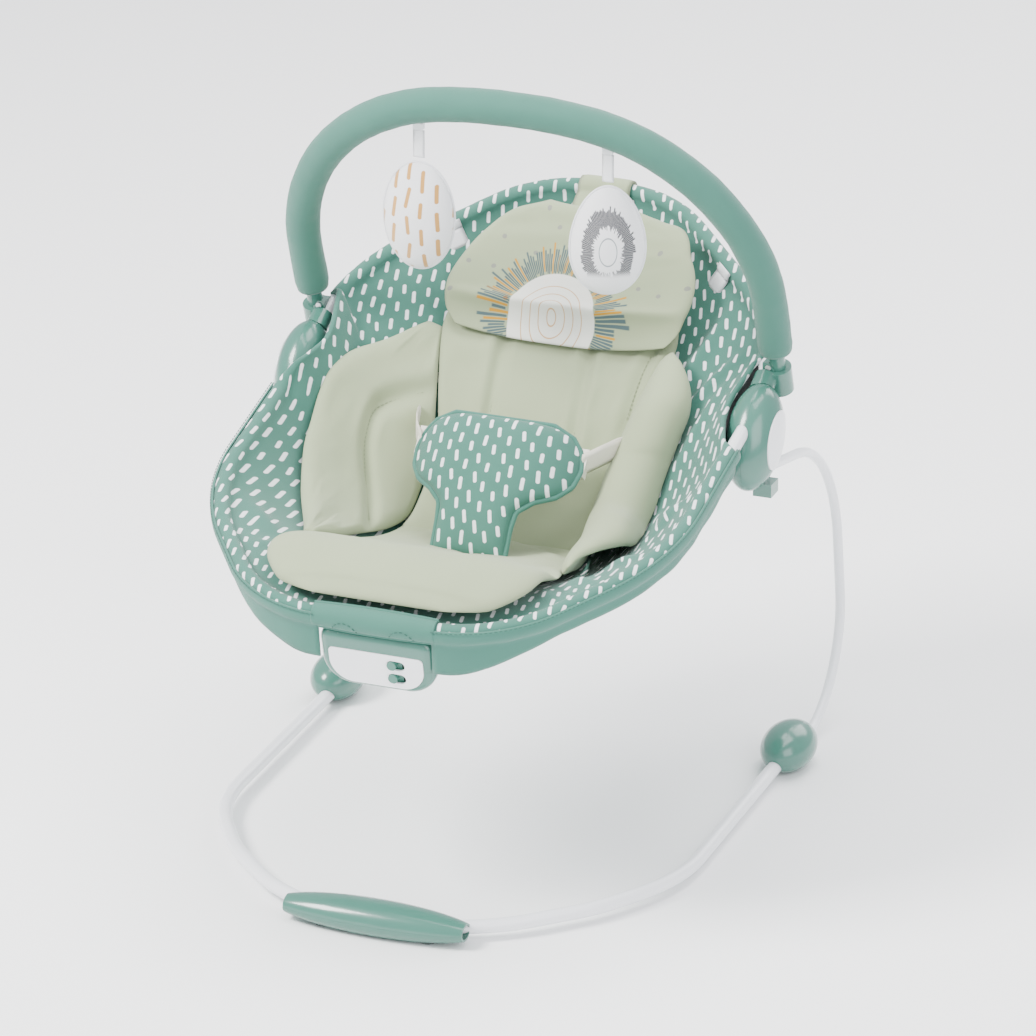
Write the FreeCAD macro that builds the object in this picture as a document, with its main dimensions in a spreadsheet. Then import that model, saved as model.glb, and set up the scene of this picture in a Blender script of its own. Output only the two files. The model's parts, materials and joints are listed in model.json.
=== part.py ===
import FreeCAD, Part
import math
import os

import Sketcher

# Baby bouncer seat. Millimetres, +Z up, the sitter faces -Y, floor at Z = 0.
# The origin lies on the floor under the middle of the overall outline.

Vec = FreeCAD.Vector
doc = FreeCAD.newDocument("bouncer_seat")
sheet = doc.addObject("Spreadsheet::Sheet", "sheet")

DIMENSIONS = [
    # Tube and wire stock
    ("tube_d", 12.7, "steel tube, outside"),
    ("tube_wall", 1.2, "steel tube wall"),
    ("wire_d", 9.0, "spring wire of the two risers"),
    ("part_gap", 0.3, "clearance between neighbouring pieces"),
    ("shell_wall", 2.6, "moulded shell wall"),
    # Floor frame
    ("floor_length", 449.0, "rear foot centre to front run of the floor tube"),
    ("floor_z", 12.5, "height of the floor tube axis"),
    ("rear_y", 165.6, "rear foot centre"),
    ("floor_end", 14.0, "tube end ahead of the rear foot centre"),
    ("floor_side_corner", 165.2, "first corner behind the front run"),
    ("floor_mid_corner", 86.2, "second corner behind the front run"),
    ("floor_bend_side", 167.2, "first bend radius of the floor tube"),
    ("floor_bend_mid", 157.6, "second bend radius of the floor tube"),
    ("floor_bend_front", 160.0, "third bend radius of the floor tube"),
    ("front_foot_len", 166.0, "front foot, across"),
    ("front_foot_wide", 41.0, "front foot, front to back"),
    ("front_foot_high", 29.0, "front foot height"),
    ("rear_foot_len", 74.0, "rear foot, front to back"),
    ("rear_foot_wide", 49.0, "rear foot, across"),
    ("rear_foot_high", 42.0, "rear foot height"),
    ("pad_high", 1.8, "rubber sole thickness"),
    ("screw_up", 3.6, "foot screw heads above the inside of the shell"),
    # Spring risers
    ("wire_gap", 1.15, "spring wire beside the ring tube in the hub"),
    ("wire_inset", 4.5, "floor tube axis inside the spring wire"),
    ("riser_start", 20.0, "wire end behind the rear foot centre"),
    ("bow_y", 316.4, "corner of the rear bow behind the origin"),
    ("bow_radius", 90.6, "bend radius of the rear bow"),
    ("bow_lean", 10.0, "forward lean of the wire above the bow, degrees"),
    ("crown_radius", 161.2, "bend radius of the crown"),
    ("crown_turn", 67.4, "crown bend, degrees"),
    ("wire_end_back", 0.9, "wire end behind the hub centre"),
    ("wire_end_below", 28.5, "wire end below the hub centre"),
    ("spring_split", 1.4, "gap where the wire is divided at its bending centre"),
    # Seat ring
    ("ring_half", 211.0, "half width of the seat ring"),
    ("knee_y", 70.1, "crossing of seat plane and back plane"),
    ("knee_z", 372.0, "height of that crossing"),
    ("seat_slope", 13.6, "seat plane, degrees down to the front"),
    ("back_slope", 28.6, "back plane, degrees up to the rear"),
    ("seat_len", 357.7, "knee to the front run of the ring"),
    ("seat_bend_side", 205.6, "side bend radius, seat half"),
    ("seat_bend_front", 114.4, "front bend radius, seat half"),
    ("back_len", 240.3, "knee to the top run of the ring"),
    ("back_bend_side", 174.0, "side bend radius, back half"),
    ("back_bend_top", 120.8, "top bend radius, back half"),
    ("ring_start", 12.0, "tube end short of the knee"),
    # Hubs
    ("hub_out", 3.0, "hub centre outside the ring tube axis"),
    ("hub_back", 6.5, "hub centre behind the knee"),
    ("hub_below", 18.0, "hub centre below the knee"),
    ("hub_lean", 31.0, "hub long axis back from upright, degrees"),
    ("hub_long", 96.0, "hub length"),
    ("hub_wide", 64.0, "hub breadth"),
    ("hub_thick", 49.0, "hub thickness across"),
    ("cap_long", 54.0, "side cap length"),
    ("cap_wide", 40.0, "side cap breadth"),
    # Toy arch
    ("arch_beside", 2.45, "arch leg axis outside the ring tube"),
    ("arch_behind", 7.1, "sleeve end behind the ring clamp"),
    ("arch_above", 29.2, "sleeve end above the ring clamp"),
    ("arch_lean", 19.5, "arch plane forward from upright, degrees"),
    ("arch_high", 236.5, "sleeve end to the arch crown"),
    ("arch_bend_side", 183.0, "shoulder bend radius"),
    ("arch_bend_top", 300.0, "crown bend radius"),
    ("sleeve_d", 31.0, "padded sleeve, outside"),
    ("arch_tube_up", 12.0, "arch tube end above the sleeve end"),
    ("post_d", 14.0, "end plug of the arch"),
    ("peg_d", 9.0, "peg under the end plug"),
    ("peg_len", 16.0, "peg length"),
    ("peg_fit", 0.08, "radial clearance of the peg in its socket"),
    ("cup_d", 24.0, "socket cup, outside"),
    ("cup_high", 25.0, "socket cup height"),
    ("cup_drop", 17.0, "cup rim below the sleeve end"),
    ("clamp_d", 21.0, "ring clamp of the socket, outside"),
    ("clamp_len", 17.0, "ring clamp length along the tube"),
    ("clamp_at", 42.0, "ring clamp behind the knee"),
    # Soft goods
    ("sling_thick", 3.0, "sling cloth with its lining"),
    ("sling_depth", 118.0, "depth of the sling at the hips"),
    ("back_depth", 48.0, "depth of the sling at the back"),
    ("insert_thick", 13.0, "padded insert"),
    ("pillow_thick", 24.0, "head pillow"),
    ("pad_thick", 16.0, "crotch pad"),
    ("pad_lean", 42.5, "crotch pad back from upright, degrees"),
    # Control unit
    ("unit_wide", 104.0, "control unit width"),
    ("unit_high", 56.0, "control unit height"),
    ("unit_deep", 46.0, "control unit depth"),
    ("unit_front", 9.0, "unit face ahead of the ring front"),
    ("unit_gap", 1.05, "unit top below the mounting clips"),
    ("unit_corner", 11.0, "upper corner radius of the unit"),
    ("unit_belly", 27.0, "lower corner radius of the unit"),
    ("knob_d", 8.4, "switch knob"),
    ("knob_travel", 7.0, "switch travel"),
    ("knob_pitch", 13.5, "distance between the two switches"),
    ("switch_x", 14.5, "switch beside the middle, pushed left"),
    ("switch_below", 26.0, "upper switch below the top of the unit"),
    ("unit_screw_in", 10.0, "rear screw inside the side of the unit"),
    ("unit_screw_below", 24.0, "rear screw below the top of the unit"),
    ("door_wide", 48.0, "battery door opening, across"),
    ("door_deep", 30.0, "battery door opening, front to back"),
    ("door_back", 11.0, "battery door opening behind the face"),
    ("door_screw_back", 37.0, "battery door screw behind the face"),
    ("cell_d", 14.5, "battery cell"),
    ("cell_len", 50.5, "battery cell length"),
    ("cell_up", 12.2, "cell axis above the bottom of the unit"),
    ("motor_d", 19.0, "vibration motor"),
    ("motor_len", 22.0, "vibration motor length"),
    ("motor_below", 17.0, "motor axis below the top of the unit"),
    ("speaker_d", 26.0, "speaker"),
    ("speaker_deep", 8.0, "speaker depth"),
    # Toys
    ("toy_x", 88.0, "toy ribbons either side of the middle"),
    ("ribbon_wide", 11.0, "ribbon width"),
    ("ribbon_thick", 1.2, "ribbon thickness"),
    ("ribbon_len", 25.5, "ribbon length"),
    ("ribbon_drop", 9.5, "ribbon end below the axis of the sleeve"),
    ("loop_wide", 9.0, "sewn loop that holds a ribbon, across"),
    ("loop_high", 6.0, "sewn loop height and depth"),
    ("loop_drop", 8.7, "sewn loop below the axis of the sleeve"),
    ("toy_drop", 4.5, "sewn end of the ribbon above the toy"),
    ("toy_high", 98.0, "toy height"),
    ("toy_wide", 64.0, "toy width"),
    ("toy_thick", 30.0, "toy thickness"),
]

for row, (alias, number, meaning) in enumerate(DIMENSIONS, start=1):
    sheet.set(f"A{row}", meaning)
    sheet.set(f"B{row}", str(number))
    sheet.setAlias(f"B{row}", alias)
doc.recompute()

NODES = {}

# Places that follow from the sheet.
RISER_X = "(sheet.ring_half + sheet.tube_d / 2 + sheet.wire_d / 2 + sheet.wire_gap)"
FLOOR_HALF = f"({RISER_X} - sheet.wire_inset)"
HUB_X = "(sheet.ring_half + sheet.hub_out)"
HUB_Y = "(sheet.knee_y + sheet.hub_back)"
HUB_Z = "(sheet.knee_z - sheet.hub_below)"
ARCH_HALF = "(sheet.ring_half + sheet.tube_d / 2 + sheet.arch_beside)"
ARCH_Y = "(sheet.knee_y + sheet.clamp_at * cos(sheet.back_slope) + sheet.arch_behind)"
ARCH_Z = "(sheet.knee_z + sheet.clamp_at * sin(sheet.back_slope) + sheet.arch_above)"
UNIT_DROP = "(sheet.tube_d / 2 + sheet.shell_wall + sheet.unit_gap)"


def size(expression):
    """Value of an expression over the sheet, in the sheet's own numbers."""
    result = sheet.evalExpression(expression)
    return float(getattr(result, "Value", result))


def bind(obj, **expressions):
    for prop, expression in expressions.items():
        obj.setExpression(prop, str(expression))
    return obj


def place(obj, x="0", y="0", z="0", tilt="0", axis="1; 0; 0"):
    """Position and turn about one axis, all bound to the sheet."""
    turn = f"rotation(vector({axis}); {tilt})"
    obj.setExpression("Placement", f"placement(vector({x}; {y}; {z}); {turn})")
    return obj


def make(kind, name, **expressions):
    obj = doc.addObject(f"Part::{kind}", name)
    return bind(obj, **expressions)


def boolean(kind, name, *shapes):
    obj = doc.addObject(f"Part::{kind}", name)
    if kind == "Cut":
        obj.Base, obj.Tool = shapes
    else:
        obj.Shapes = list(shapes)
    return obj


def cut(name, base, *tools):
    tool = tools[0] if len(tools) == 1 else boolean("MultiFuse", name + "_tools", *tools)
    return boolean("Cut", name, base, tool)


def fuse(name, *shapes):
    return boolean("MultiFuse", name, *shapes)


def common(name, *shapes):
    return boolean("MultiCommon", name, *shapes)


def mirror(name, source):
    obj = doc.addObject("Part::Mirroring", name)
    obj.Source = source
    obj.Normal = Vec(1, 0, 0)
    return obj


def node(name, obj):
    obj.Label = name
    NODES[name] = obj
    return obj


def pair(name, obj):
    """The piece on the +X side and its mirror image on the -X side."""
    node("right_" + name, obj)
    node("left_" + name, mirror("left_" + name, obj))


def cylinder(name, radius, height, **where):
    return place(make("Cylinder", name, Radius=radius, Height=height), **where)


def box(name, length, width, height, **where):
    """A box whose place is its lowest corner."""
    return place(make("Box", name, Length=length, Width=width, Height=height), **where)


def ellipsoid(name, half_x, half_y, half_z, **where):
    shape = make("Ellipsoid", name, Radius1=half_z, Radius2=half_x, Radius3=half_y)
    shape.Angle1 = -90
    return place(shape, **where)


# ---------------------------------------------------------------- sketches

PLANE_ROLE = {"XY": "XY_Plane", "XZ": "XZ_Plane", "YZ": "YZ_Plane"}


def new_body(name):
    body = doc.addObject("PartDesign::Body", name)
    return body


def origin_plane(body, plane):
    for feature in body.Origin.OriginFeatures:
        if feature.Role == PLANE_ROLE[plane]:
            return feature
    raise ValueError(plane)


def new_sketch(body, name, plane, offset="0"):
    sketch = body.newObject("Sketcher::SketchObject", name)
    sketch.AttachmentSupport = [(origin_plane(body, plane), "")]
    sketch.MapMode = "FlatFace"
    sketch.setExpression("AttachmentOffset.Base.z", offset)
    return sketch


def fix_point(sketch, geo, pos, x, y):
    """Hold a sketch point at two sheet expressions; "0" puts it on the axis."""
    for expression, kind, axis in ((x, "DistanceX", -2), (y, "DistanceY", -1)):
        if expression == "0":
            sketch.addConstraint(Sketcher.Constraint("PointOnObject", geo, pos, axis))
            continue
        index = sketch.addConstraint(Sketcher.Constraint(kind, geo, pos, size(expression)))
        sketch.setExpression(f"Constraints[{index}]", expression)


def add_value(sketch, expression, *constraint):
    index = sketch.addConstraint(Sketcher.Constraint(*constraint, size(expression)))
    sketch.setExpression(f"Constraints[{index}]", expression)


def rounded_path(sketch, points, radii, closed=False):
    """Straight runs along a control polygon, joined by tangent arcs."""
    places = [Vec(size(x), size(y), 0) for x, y in points]
    count = len(points)
    spans = count if closed else count - 1
    guides = []
    for i in range(spans):
        line = Part.LineSegment(places[i], places[(i + 1) % count])
        guides.append(sketch.addGeometry(line, True))
    for i in range(1, spans):
        sketch.addConstraint(Sketcher.Constraint("Coincident", guides[i - 1], 2, guides[i], 1))
    if closed:
        sketch.addConstraint(Sketcher.Constraint("Coincident", guides[-1], 2, guides[0], 1))
    for i, (x, y) in enumerate(points):
        if i < spans:
            fix_point(sketch, guides[i], 1, x, y)
        else:
            fix_point(sketch, guides[i - 1], 2, x, y)

    corners = range(count) if closed else range(1, count - 1)
    cut_in = {}
    for corner, radius in zip(corners, radii):
        here = places[corner]
        back = (places[corner - 1] - here).normalize()
        ahead = (places[(corner + 1) % count] - here).normalize()
        turn = math.pi - back.getAngle(ahead)
        reach = size(radius) * math.tan(turn / 2)
        cut_in[corner] = (here + back * reach, here + ahead * reach, size(radius), turn)

    runs = []
    for i in range(spans):
        after = (i + 1) % count
        start = cut_in[i][1] if i in cut_in else places[i]
        end = cut_in[after][0] if after in cut_in else places[after]
        runs.append(sketch.addGeometry(Part.LineSegment(start, end), False))
        for pos, corner in ((1, i), (2, after)):
            if corner in cut_in:
                on_guide = Sketcher.Constraint("PointOnObject", runs[-1], pos, guides[i])
                sketch.addConstraint(on_guide)
            else:
                joined = Sketcher.Constraint("Coincident", runs[-1], pos, guides[i], pos)
                sketch.addConstraint(joined)

    for corner, radius in zip(corners, radii):
        enter, leave, value, turn = cut_in[corner]
        here = places[corner]
        inward = ((enter - here) + (leave - here)).normalize()
        centre = here + inward * (value / math.cos(turn / 2))
        side = (here - enter).cross(centre - enter).z
        first, last = (enter, leave) if side > 0 else (leave, enter)
        middle = centre - inward * value
        arc = sketch.addGeometry(Part.Arc(first, middle, last), False)
        before, after = runs[corner - 1], runs[corner % spans]
        arc_in, arc_out = (1, 2) if side > 0 else (2, 1)
        sketch.addConstraint(Sketcher.Constraint("Tangent", before, 2, arc, arc_in))
        sketch.addConstraint(Sketcher.Constraint("Tangent", arc, arc_out, after, 1))
        add_value(sketch, radius, "Radius", arc)


def ring_section(sketch, x, y, outer, inner=None):
    """One circle for a rod, two for a tube, centred on a bound point."""
    for diameter in [d for d in (outer, inner) if d]:
        centre = Vec(size(x), size(y), 0)
        circle = Part.Circle(centre, Vec(0, 0, 1), size(diameter) / 2)
        geo = sketch.addGeometry(circle, False)
        fix_point(sketch, geo, 3, x, y)
        add_value(sketch, diameter, "Diameter", geo)


def bent_bar(name, plane, points, radii, outer, inner=None, whole=True):
    """A tube or rod along a bent path in one plane of its own body.

    The path starts square to an origin plane. With whole set, it runs to the
    middle plane and is mirrored across it.
    """
    body = new_body(name)
    start_x, start_y = points[0]
    if plane == "XY":
        section = new_sketch(body, name + "_section", "XZ", f"-({start_y})")
        ring_section(section, start_x, "0", outer, inner)
    elif plane == "XZ":
        section = new_sketch(body, name + "_section", "XY", start_y)
        ring_section(section, start_x, "0", outer, inner)
    elif start_x == "0":
        section = new_sketch(body, name + "_section", "XY", start_y)
        ring_section(section, "0", "0", outer, inner)
    else:
        section = new_sketch(body, name + "_section", "XZ", f"-({start_x})")
        ring_section(section, "0", "0", outer, inner)
    path = new_sketch(body, name + "_path", plane)
    rounded_path(path, points, radii)
    doc.recompute()
    sweep = body.newObject("PartDesign::AdditivePipe", name + "_sweep")
    sweep.Profile = section
    sweep.Spine = (path, [f"Edge{i + 1}" for i in range(len(path.Shape.Edges))])
    body.Tip = sweep
    if whole:
        doc.recompute()
        both = body.newObject("PartDesign::Mirrored", name + "_both")
        both.Originals = [sweep]
        both.MirrorPlane = (origin_plane(body, "YZ"), [""])
        body.Tip = both
    return body


def profile_block(name, points, radii, depth):
    """A rounded outline in the body's XZ plane, padded along Y from Y = 0."""
    body = new_body(name)
    outline = new_sketch(body, name + "_outline", "XZ")
    rounded_path(outline, points, radii, closed=True)
    block = body.newObject("PartDesign::Pad", name + "_pad")
    block.Profile = outline
    block.setExpression("Length", depth)
    block.Reversed = True
    body.Tip = block
    return body


# ---------------------------------------------------------------- floor frame

FRONT_Y = "(sheet.rear_y - sheet.floor_length)"
FLOOR_MID_SHARE = 0.7725
FLOOR_FRONT_SHARE = 0.3711
TUBE_BORE = "sheet.tube_d - 2 * sheet.tube_wall"
TUBE_HOLE = "sheet.tube_d / 2 + sheet.part_gap / 2"
WIRE_HOLE = "sheet.wire_d / 2 + sheet.part_gap / 2"


TUBE_ROOM = "sheet.tube_d + sheet.part_gap"
FLOOR_PATH = [
    (FLOOR_HALF, "sheet.rear_y - sheet.floor_end"),
    (FLOOR_HALF, f"{FRONT_Y} + sheet.floor_side_corner"),
    (f"{FLOOR_HALF} * {FLOOR_MID_SHARE}", f"{FRONT_Y} + sheet.floor_mid_corner"),
    (f"{FLOOR_HALF} * {FLOOR_FRONT_SHARE}", FRONT_Y),
    ("0", FRONT_Y),
]
FLOOR_BENDS = ["sheet.floor_bend_side", "sheet.floor_bend_mid", "sheet.floor_bend_front"]


def floor_frame():
    tube = bent_bar("floor_tube", "XY", FLOOR_PATH, FLOOR_BENDS, "sheet.tube_d", TUBE_BORE)
    node("floor_tube", place(tube, z="sheet.floor_z"))


def foot_shells(name, half_x, half_y, high, split, centre_x, centre_y, bores, trim=None):
    """Upper and lower shells of one egg-shaped foot, hollow, with bores."""
    middle = f"({high} / 2 - 1)"
    where = {"x": centre_x, "y": centre_y, "z": middle}
    outer = ellipsoid(name + "_outer", half_x, half_y, f"{high} / 2 + 1", **where)
    inner = ellipsoid(
        name + "_inner",
        f"{half_x} - sheet.shell_wall",
        f"{half_y} - sheet.shell_wall",
        f"{high} / 2 + 1 - sheet.shell_wall",
        **where,
    )
    far = f"({half_x} + 5)"
    deep = f"({half_y} + 5)"
    floor_gap = "(sheet.pad_high + 0.1)"
    corner = {"x": f"{centre_x} - {far}", "y": f"{centre_y} - {deep}"}
    above = box(
        name + "_room",
        f"2 * {far}",
        f"2 * {deep}",
        "80",
        z=f"{floor_gap} + sheet.shell_wall",
        **corner,
    )
    hollow = common(name + "_hollow", inner, above)
    shell = cut(name + "_shell", outer, hollow, *bores)
    if trim:
        shell = common(name + "_trimmed", shell, trim)
    halves = {}
    for part, low, high_z in (
        ("bottom", floor_gap, split),
        ("top", f"{split} + 0.1", f"{split} + 80"),
    ):
        slab = box(
            f"{name}_{part}_slab",
            f"2 * {far}",
            f"2 * {deep}",
            f"{high_z} - {low}",
            z=low,
            **corner,
        )
        halves[part] = common(f"{name}_{part}", shell, slab)
    return halves


def feet():
    tube_line = cylinder(
        "rear_tube_bore",
        TUBE_HOLE,
        "70",
        x=FLOOR_HALF,
        y="sheet.rear_y - 13",
        z="sheet.floor_z",
        tilt="90",
    )
    wire_line = cylinder(
        "rear_wire_bore",
        WIRE_HOLE,
        "60",
        x=RISER_X,
        y="sheet.rear_y + sheet.riser_start - 1",
        z="sheet.floor_z",
        tilt="-90",
    )
    rear = foot_shells(
        "rear_foot",
        "(sheet.rear_foot_wide / 2)",
        "(sheet.rear_foot_len / 2)",
        "sheet.rear_foot_high",
        "(sheet.floor_z + 3)",
        f"({FLOOR_HALF} + 2)",
        "sheet.rear_y",
        [tube_line, wire_line],
    )
    pair("rear_foot_bottom", rear["bottom"])
    pair("rear_foot_top", rear["top"])

    front_line = bent_bar("front_tube_bore", "XY", FLOOR_PATH, FLOOR_BENDS, TUBE_ROOM)
    place(front_line, z="sheet.floor_z")
    trim = box(
        "front_foot_trim",
        "sheet.front_foot_len",
        "80",
        "80",
        x="-sheet.front_foot_len / 2",
        y=f"{FRONT_Y} - 40",
    )
    front = foot_shells(
        "front_foot",
        "(sheet.front_foot_len / 2 + 13)",
        "(sheet.front_foot_wide / 2)",
        "sheet.front_foot_high",
        "(sheet.floor_z + 1)",
        "0",
        FRONT_Y,
        [front_line],
        trim,
    )
    node("front_foot_bottom", front["bottom"])
    node("front_foot_top", front["top"])

    soles = []
    for name, x, y in (
        ("sole_right", f"{FLOOR_HALF} + 2", "sheet.rear_y"),
        ("sole_left", f"-{FLOOR_HALF} - 2", "sheet.rear_y"),
        ("sole_front_right", "48", FRONT_Y),
        ("sole_front_left", "-48", FRONT_Y),
    ):
        soles.append(cylinder(name, "8", "sheet.pad_high", x=x, y=y))
    node("rubber_soles", fuse("rubber_soles", *soles))

    screws = []
    for name, x, y in (
        ("foot_screw_right", f"{FLOOR_HALF} - 11", "sheet.rear_y"),
        ("foot_screw_left", f"-{FLOOR_HALF} + 11", "sheet.rear_y"),
        ("foot_screw_front_right", "32", f"{FRONT_Y} - 9.5"),
        ("foot_screw_front_left", "-32", f"{FRONT_Y} - 9.5"),
    ):
        low = "sheet.pad_high + sheet.shell_wall + sheet.screw_up"
        shank = cylinder(name + "_shank", "1.5", "9", x=x, y=y, z=low)
        head = cylinder(name + "_head", "2.4", "1.8", x=x, y=y, z=low)
        screws.append(fuse(name, shank, head))
    node("foot_screws", fuse("foot_screws", *screws))


# ---------------------------------------------------------------- spring risers

PIVOT_Y = (
    "(sheet.bow_y - sheet.bow_radius * tan(45 + sheet.bow_lean / 2) * sin(sheet.bow_lean))"
)
PIVOT_Z = (
    "(sheet.floor_z + sheet.bow_radius * tan(45 + sheet.bow_lean / 2) * cos(sheet.bow_lean))"
)


# The wire ends in the hub, so its two upper runs follow from that point.
END_Y = f"({HUB_Y} + sheet.wire_end_back)"
END_Z = f"({HUB_Z} - sheet.wire_end_below)"
END_LEAN = "(sheet.bow_lean + sheet.crown_turn)"
RISER_RUN = (
    f"((({END_Y} - {PIVOT_Y}) * cos({END_LEAN}) + ({END_Z} - {PIVOT_Z}) * sin({END_LEAN}))"
    " / sin(sheet.crown_turn))"
)
CROWN_RUN = (
    f"((({PIVOT_Y} - {END_Y}) * cos(sheet.bow_lean) - ({END_Z} - {PIVOT_Z}) * sin(sheet.bow_lean))"
    " / sin(sheet.crown_turn))"
)


def risers():
    bend = "sheet.bow_radius * tan(45 + sheet.bow_lean / 2)"
    lower = bent_bar(
        "riser_lower",
        "YZ",
        [
            ("sheet.rear_y + sheet.riser_start", "0"),
            ("sheet.bow_y", "0"),
            (
                f"sheet.bow_y - ({bend} + 0.6) * sin(sheet.bow_lean)",
                f"({bend} + 0.6) * cos(sheet.bow_lean)",
            ),
        ],
        ["sheet.bow_radius"],
        "sheet.wire_d",
        whole=False,
    )
    pair("riser_lower", place(lower, x=RISER_X, z="sheet.floor_z"))

    top = RISER_RUN
    upper = bent_bar(
        "riser_upper",
        "YZ",
        [
            ("0", "sheet.spring_split"),
            ("0", top),
            (
                f"-{CROWN_RUN} * sin(sheet.crown_turn)",
                f"{top} + {CROWN_RUN} * cos(sheet.crown_turn)",
            ),
        ],
        ["sheet.crown_radius"],
        "sheet.wire_d",
        whole=False,
    )
    place(upper, x=RISER_X, y=PIVOT_Y, z=PIVOT_Z, tilt="sheet.bow_lean")
    pair("riser_upper", upper)


# ---------------------------------------------------------------- seat ring

SEAT_AT = {"y": "sheet.knee_y", "z": "sheet.knee_z", "tilt": "sheet.seat_slope"}
BACK_AT = {"y": "sheet.knee_y", "z": "sheet.knee_z", "tilt": "sheet.back_slope"}
SEAT_SHARE = 0.5156
BACK_SHARE = 0.2972
SEAT_CORNER = 139.5
BACK_CORNER = 138.8


def seat_path(start):
    return [
        ("sheet.ring_half", start),
        ("sheet.ring_half", f"-sheet.seat_len + {SEAT_CORNER}"),
        (f"sheet.ring_half * {SEAT_SHARE}", "-sheet.seat_len"),
        ("0", "-sheet.seat_len"),
    ]


def back_path(start):
    return [
        ("sheet.ring_half", start),
        ("sheet.ring_half", f"sheet.back_len - {BACK_CORNER}"),
        (f"sheet.ring_half * {BACK_SHARE}", "sheet.back_len"),
        ("0", "sheet.back_len"),
    ]


SEAT_BENDS = ["sheet.seat_bend_side", "sheet.seat_bend_front"]
BACK_BENDS = ["sheet.back_bend_side", "sheet.back_bend_top"]


def seat_ring():
    seat = bent_bar(
        "seat_tube", "XY", seat_path("-sheet.ring_start"), SEAT_BENDS, "sheet.tube_d", TUBE_BORE
    )
    node("seat_tube", place(seat, **SEAT_AT))
    back = bent_bar(
        "back_tube", "XY", back_path("sheet.ring_start"), BACK_BENDS, "sheet.tube_d", TUBE_BORE
    )
    node("back_tube", place(back, **BACK_AT))


def back_tube_room():
    """The room that the back tube needs inside the hub and the arch socket."""
    room = bent_bar("back_tube_room", "XY", back_path("0"), BACK_BENDS, TUBE_ROOM)
    return place(room, **BACK_AT)


HUB_AT = {"x": HUB_X, "y": HUB_Y, "z": HUB_Z, "tilt": "-sheet.hub_lean"}
# Behind and above the hub centre, clear of the tubes and the wire.
HUB_SCREWS = {"low": (-9.6, -19.8), "high": (23.4, 16.0)}


def plane_bore(name, radius, slope, x, start, length, forward):
    """A cylinder along the seat or back plane, from the knee line."""
    side = "-1" if forward else "1"
    angle = f"(90 + {slope})" if forward else f"(-90 + {slope})"
    return cylinder(
        name,
        radius,
        length,
        x=x,
        y=f"sheet.knee_y + {side} * {start} * cos({slope})",
        z=f"sheet.knee_z + {side} * {start} * sin({slope})",
        tilt=angle,
    )


def hubs(tube_room):
    outer = ellipsoid(
        "hub_outer_form", "sheet.hub_thick / 2", "sheet.hub_wide / 2", "sheet.hub_long / 2", **HUB_AT
    )
    inner = ellipsoid(
        "hub_inner_form",
        "sheet.hub_thick / 2 - sheet.shell_wall",
        "sheet.hub_wide / 2 - sheet.shell_wall",
        "sheet.hub_long / 2 - sheet.shell_wall",
        **HUB_AT,
    )
    seat_bore = plane_bore(
        "hub_seat_bore", TUBE_HOLE, "sheet.seat_slope", "sheet.ring_half", "0", "90", True
    )
    wire_bore = cylinder(
        "hub_wire_bore",
        WIRE_HOLE,
        "80",
        x=RISER_X,
        y=f"{END_Y} - 0.5",
        z=f"{END_Z} + 0.1",
        tilt=f"{END_LEAN} - 180",
    )
    cap_room = make("Ellipse", "cap_room_oval")
    bind(
        cap_room,
        MajorRadius="sheet.cap_long / 2 + sheet.part_gap",
        MinorRadius="sheet.cap_wide / 2 + sheet.part_gap",
    )
    cap_oval = make("Ellipse", "cap_oval")
    bind(cap_oval, MajorRadius="sheet.cap_long / 2", MinorRadius="sheet.cap_wide / 2")
    columns = []
    for name, oval in (("cap_room", cap_room), ("cap_column", cap_oval)):
        column = doc.addObject("Part::Extrusion", name)
        column.Base = oval
        column.DirMode = "Custom"
        column.Dir = Vec(0, 0, 1)
        column.LengthFwd = 60
        column.Solid = True
        # The oval's long axis follows the hub's, its depth runs along +X.
        turn = (
            "rotation(vector(1; 0; 0); -sheet.hub_lean)"
            " * rotation(vector(0; 1; 0); 90) * rotation(vector(0; 0; 1); 180)"
        )
        spot = f"vector({HUB_X} + 4; {HUB_Y}; {HUB_Z})"
        column.setExpression("Placement", f"placement({spot}; {turn})")
        columns.append(column)
    room, column = columns
    shell = cut("hub_shell", outer, inner, seat_bore, tube_room, wire_bore)
    side = HUB_X
    inner_side = box(
        "hub_inner_side", "60", "140", "140", x=f"{side} - 60.05", y=f"{HUB_Y} - 70", z=f"{HUB_Z} - 70"
    )
    outer_side = box(
        "hub_outer_side", "60", "140", "140", x=f"{side} + 0.05", y=f"{HUB_Y} - 70", z=f"{HUB_Z} - 70"
    )
    inner_shell = common("hub_inner_shell", shell, inner_side)
    outer_half = common("hub_outer_half", shell, outer_side)
    tab = box("hub_tab", "17", "19", "12", x=f"{side} + 1", y=f"{HUB_Y} - 6", z=f"{HUB_Z} - 53")
    tab_room = cut("hub_tab_trimmed", tab, inner)
    outer_shell = cut("hub_outer_shell", fuse("hub_outer_with_tab", outer_half, tab_room), room)
    pair("hub_inner_shell", inner_shell)
    pair("hub_outer_shell", outer_shell)

    proud = ellipsoid(
        "cap_form",
        "sheet.hub_thick / 2 + 1",
        "sheet.hub_wide / 2 + 1",
        "sheet.hub_long / 2 + 1",
        **HUB_AT,
    )
    plate = common("cap_plate", proud, column)
    pair("hub_cap", cut("hub_cap", plate, inner))

    screws = []
    for sign, name in (("", "right"), ("-", "left")):
        for spot, (back, up) in HUB_SCREWS.items():
            where = {"x": f"{sign}{HUB_X} - 7", "y": f"{HUB_Y} + {back}", "z": f"{HUB_Z} + {up}"}
            long_name = f"hub_screw_{name}_{spot}"
            screws.append(
                cylinder(long_name, "1.8", "14", tilt="90", axis="0; 1; 0", **where)
            )
    node("hub_screws", fuse("hub_screws", *screws))


# ---------------------------------------------------------------- toy arch

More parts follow.
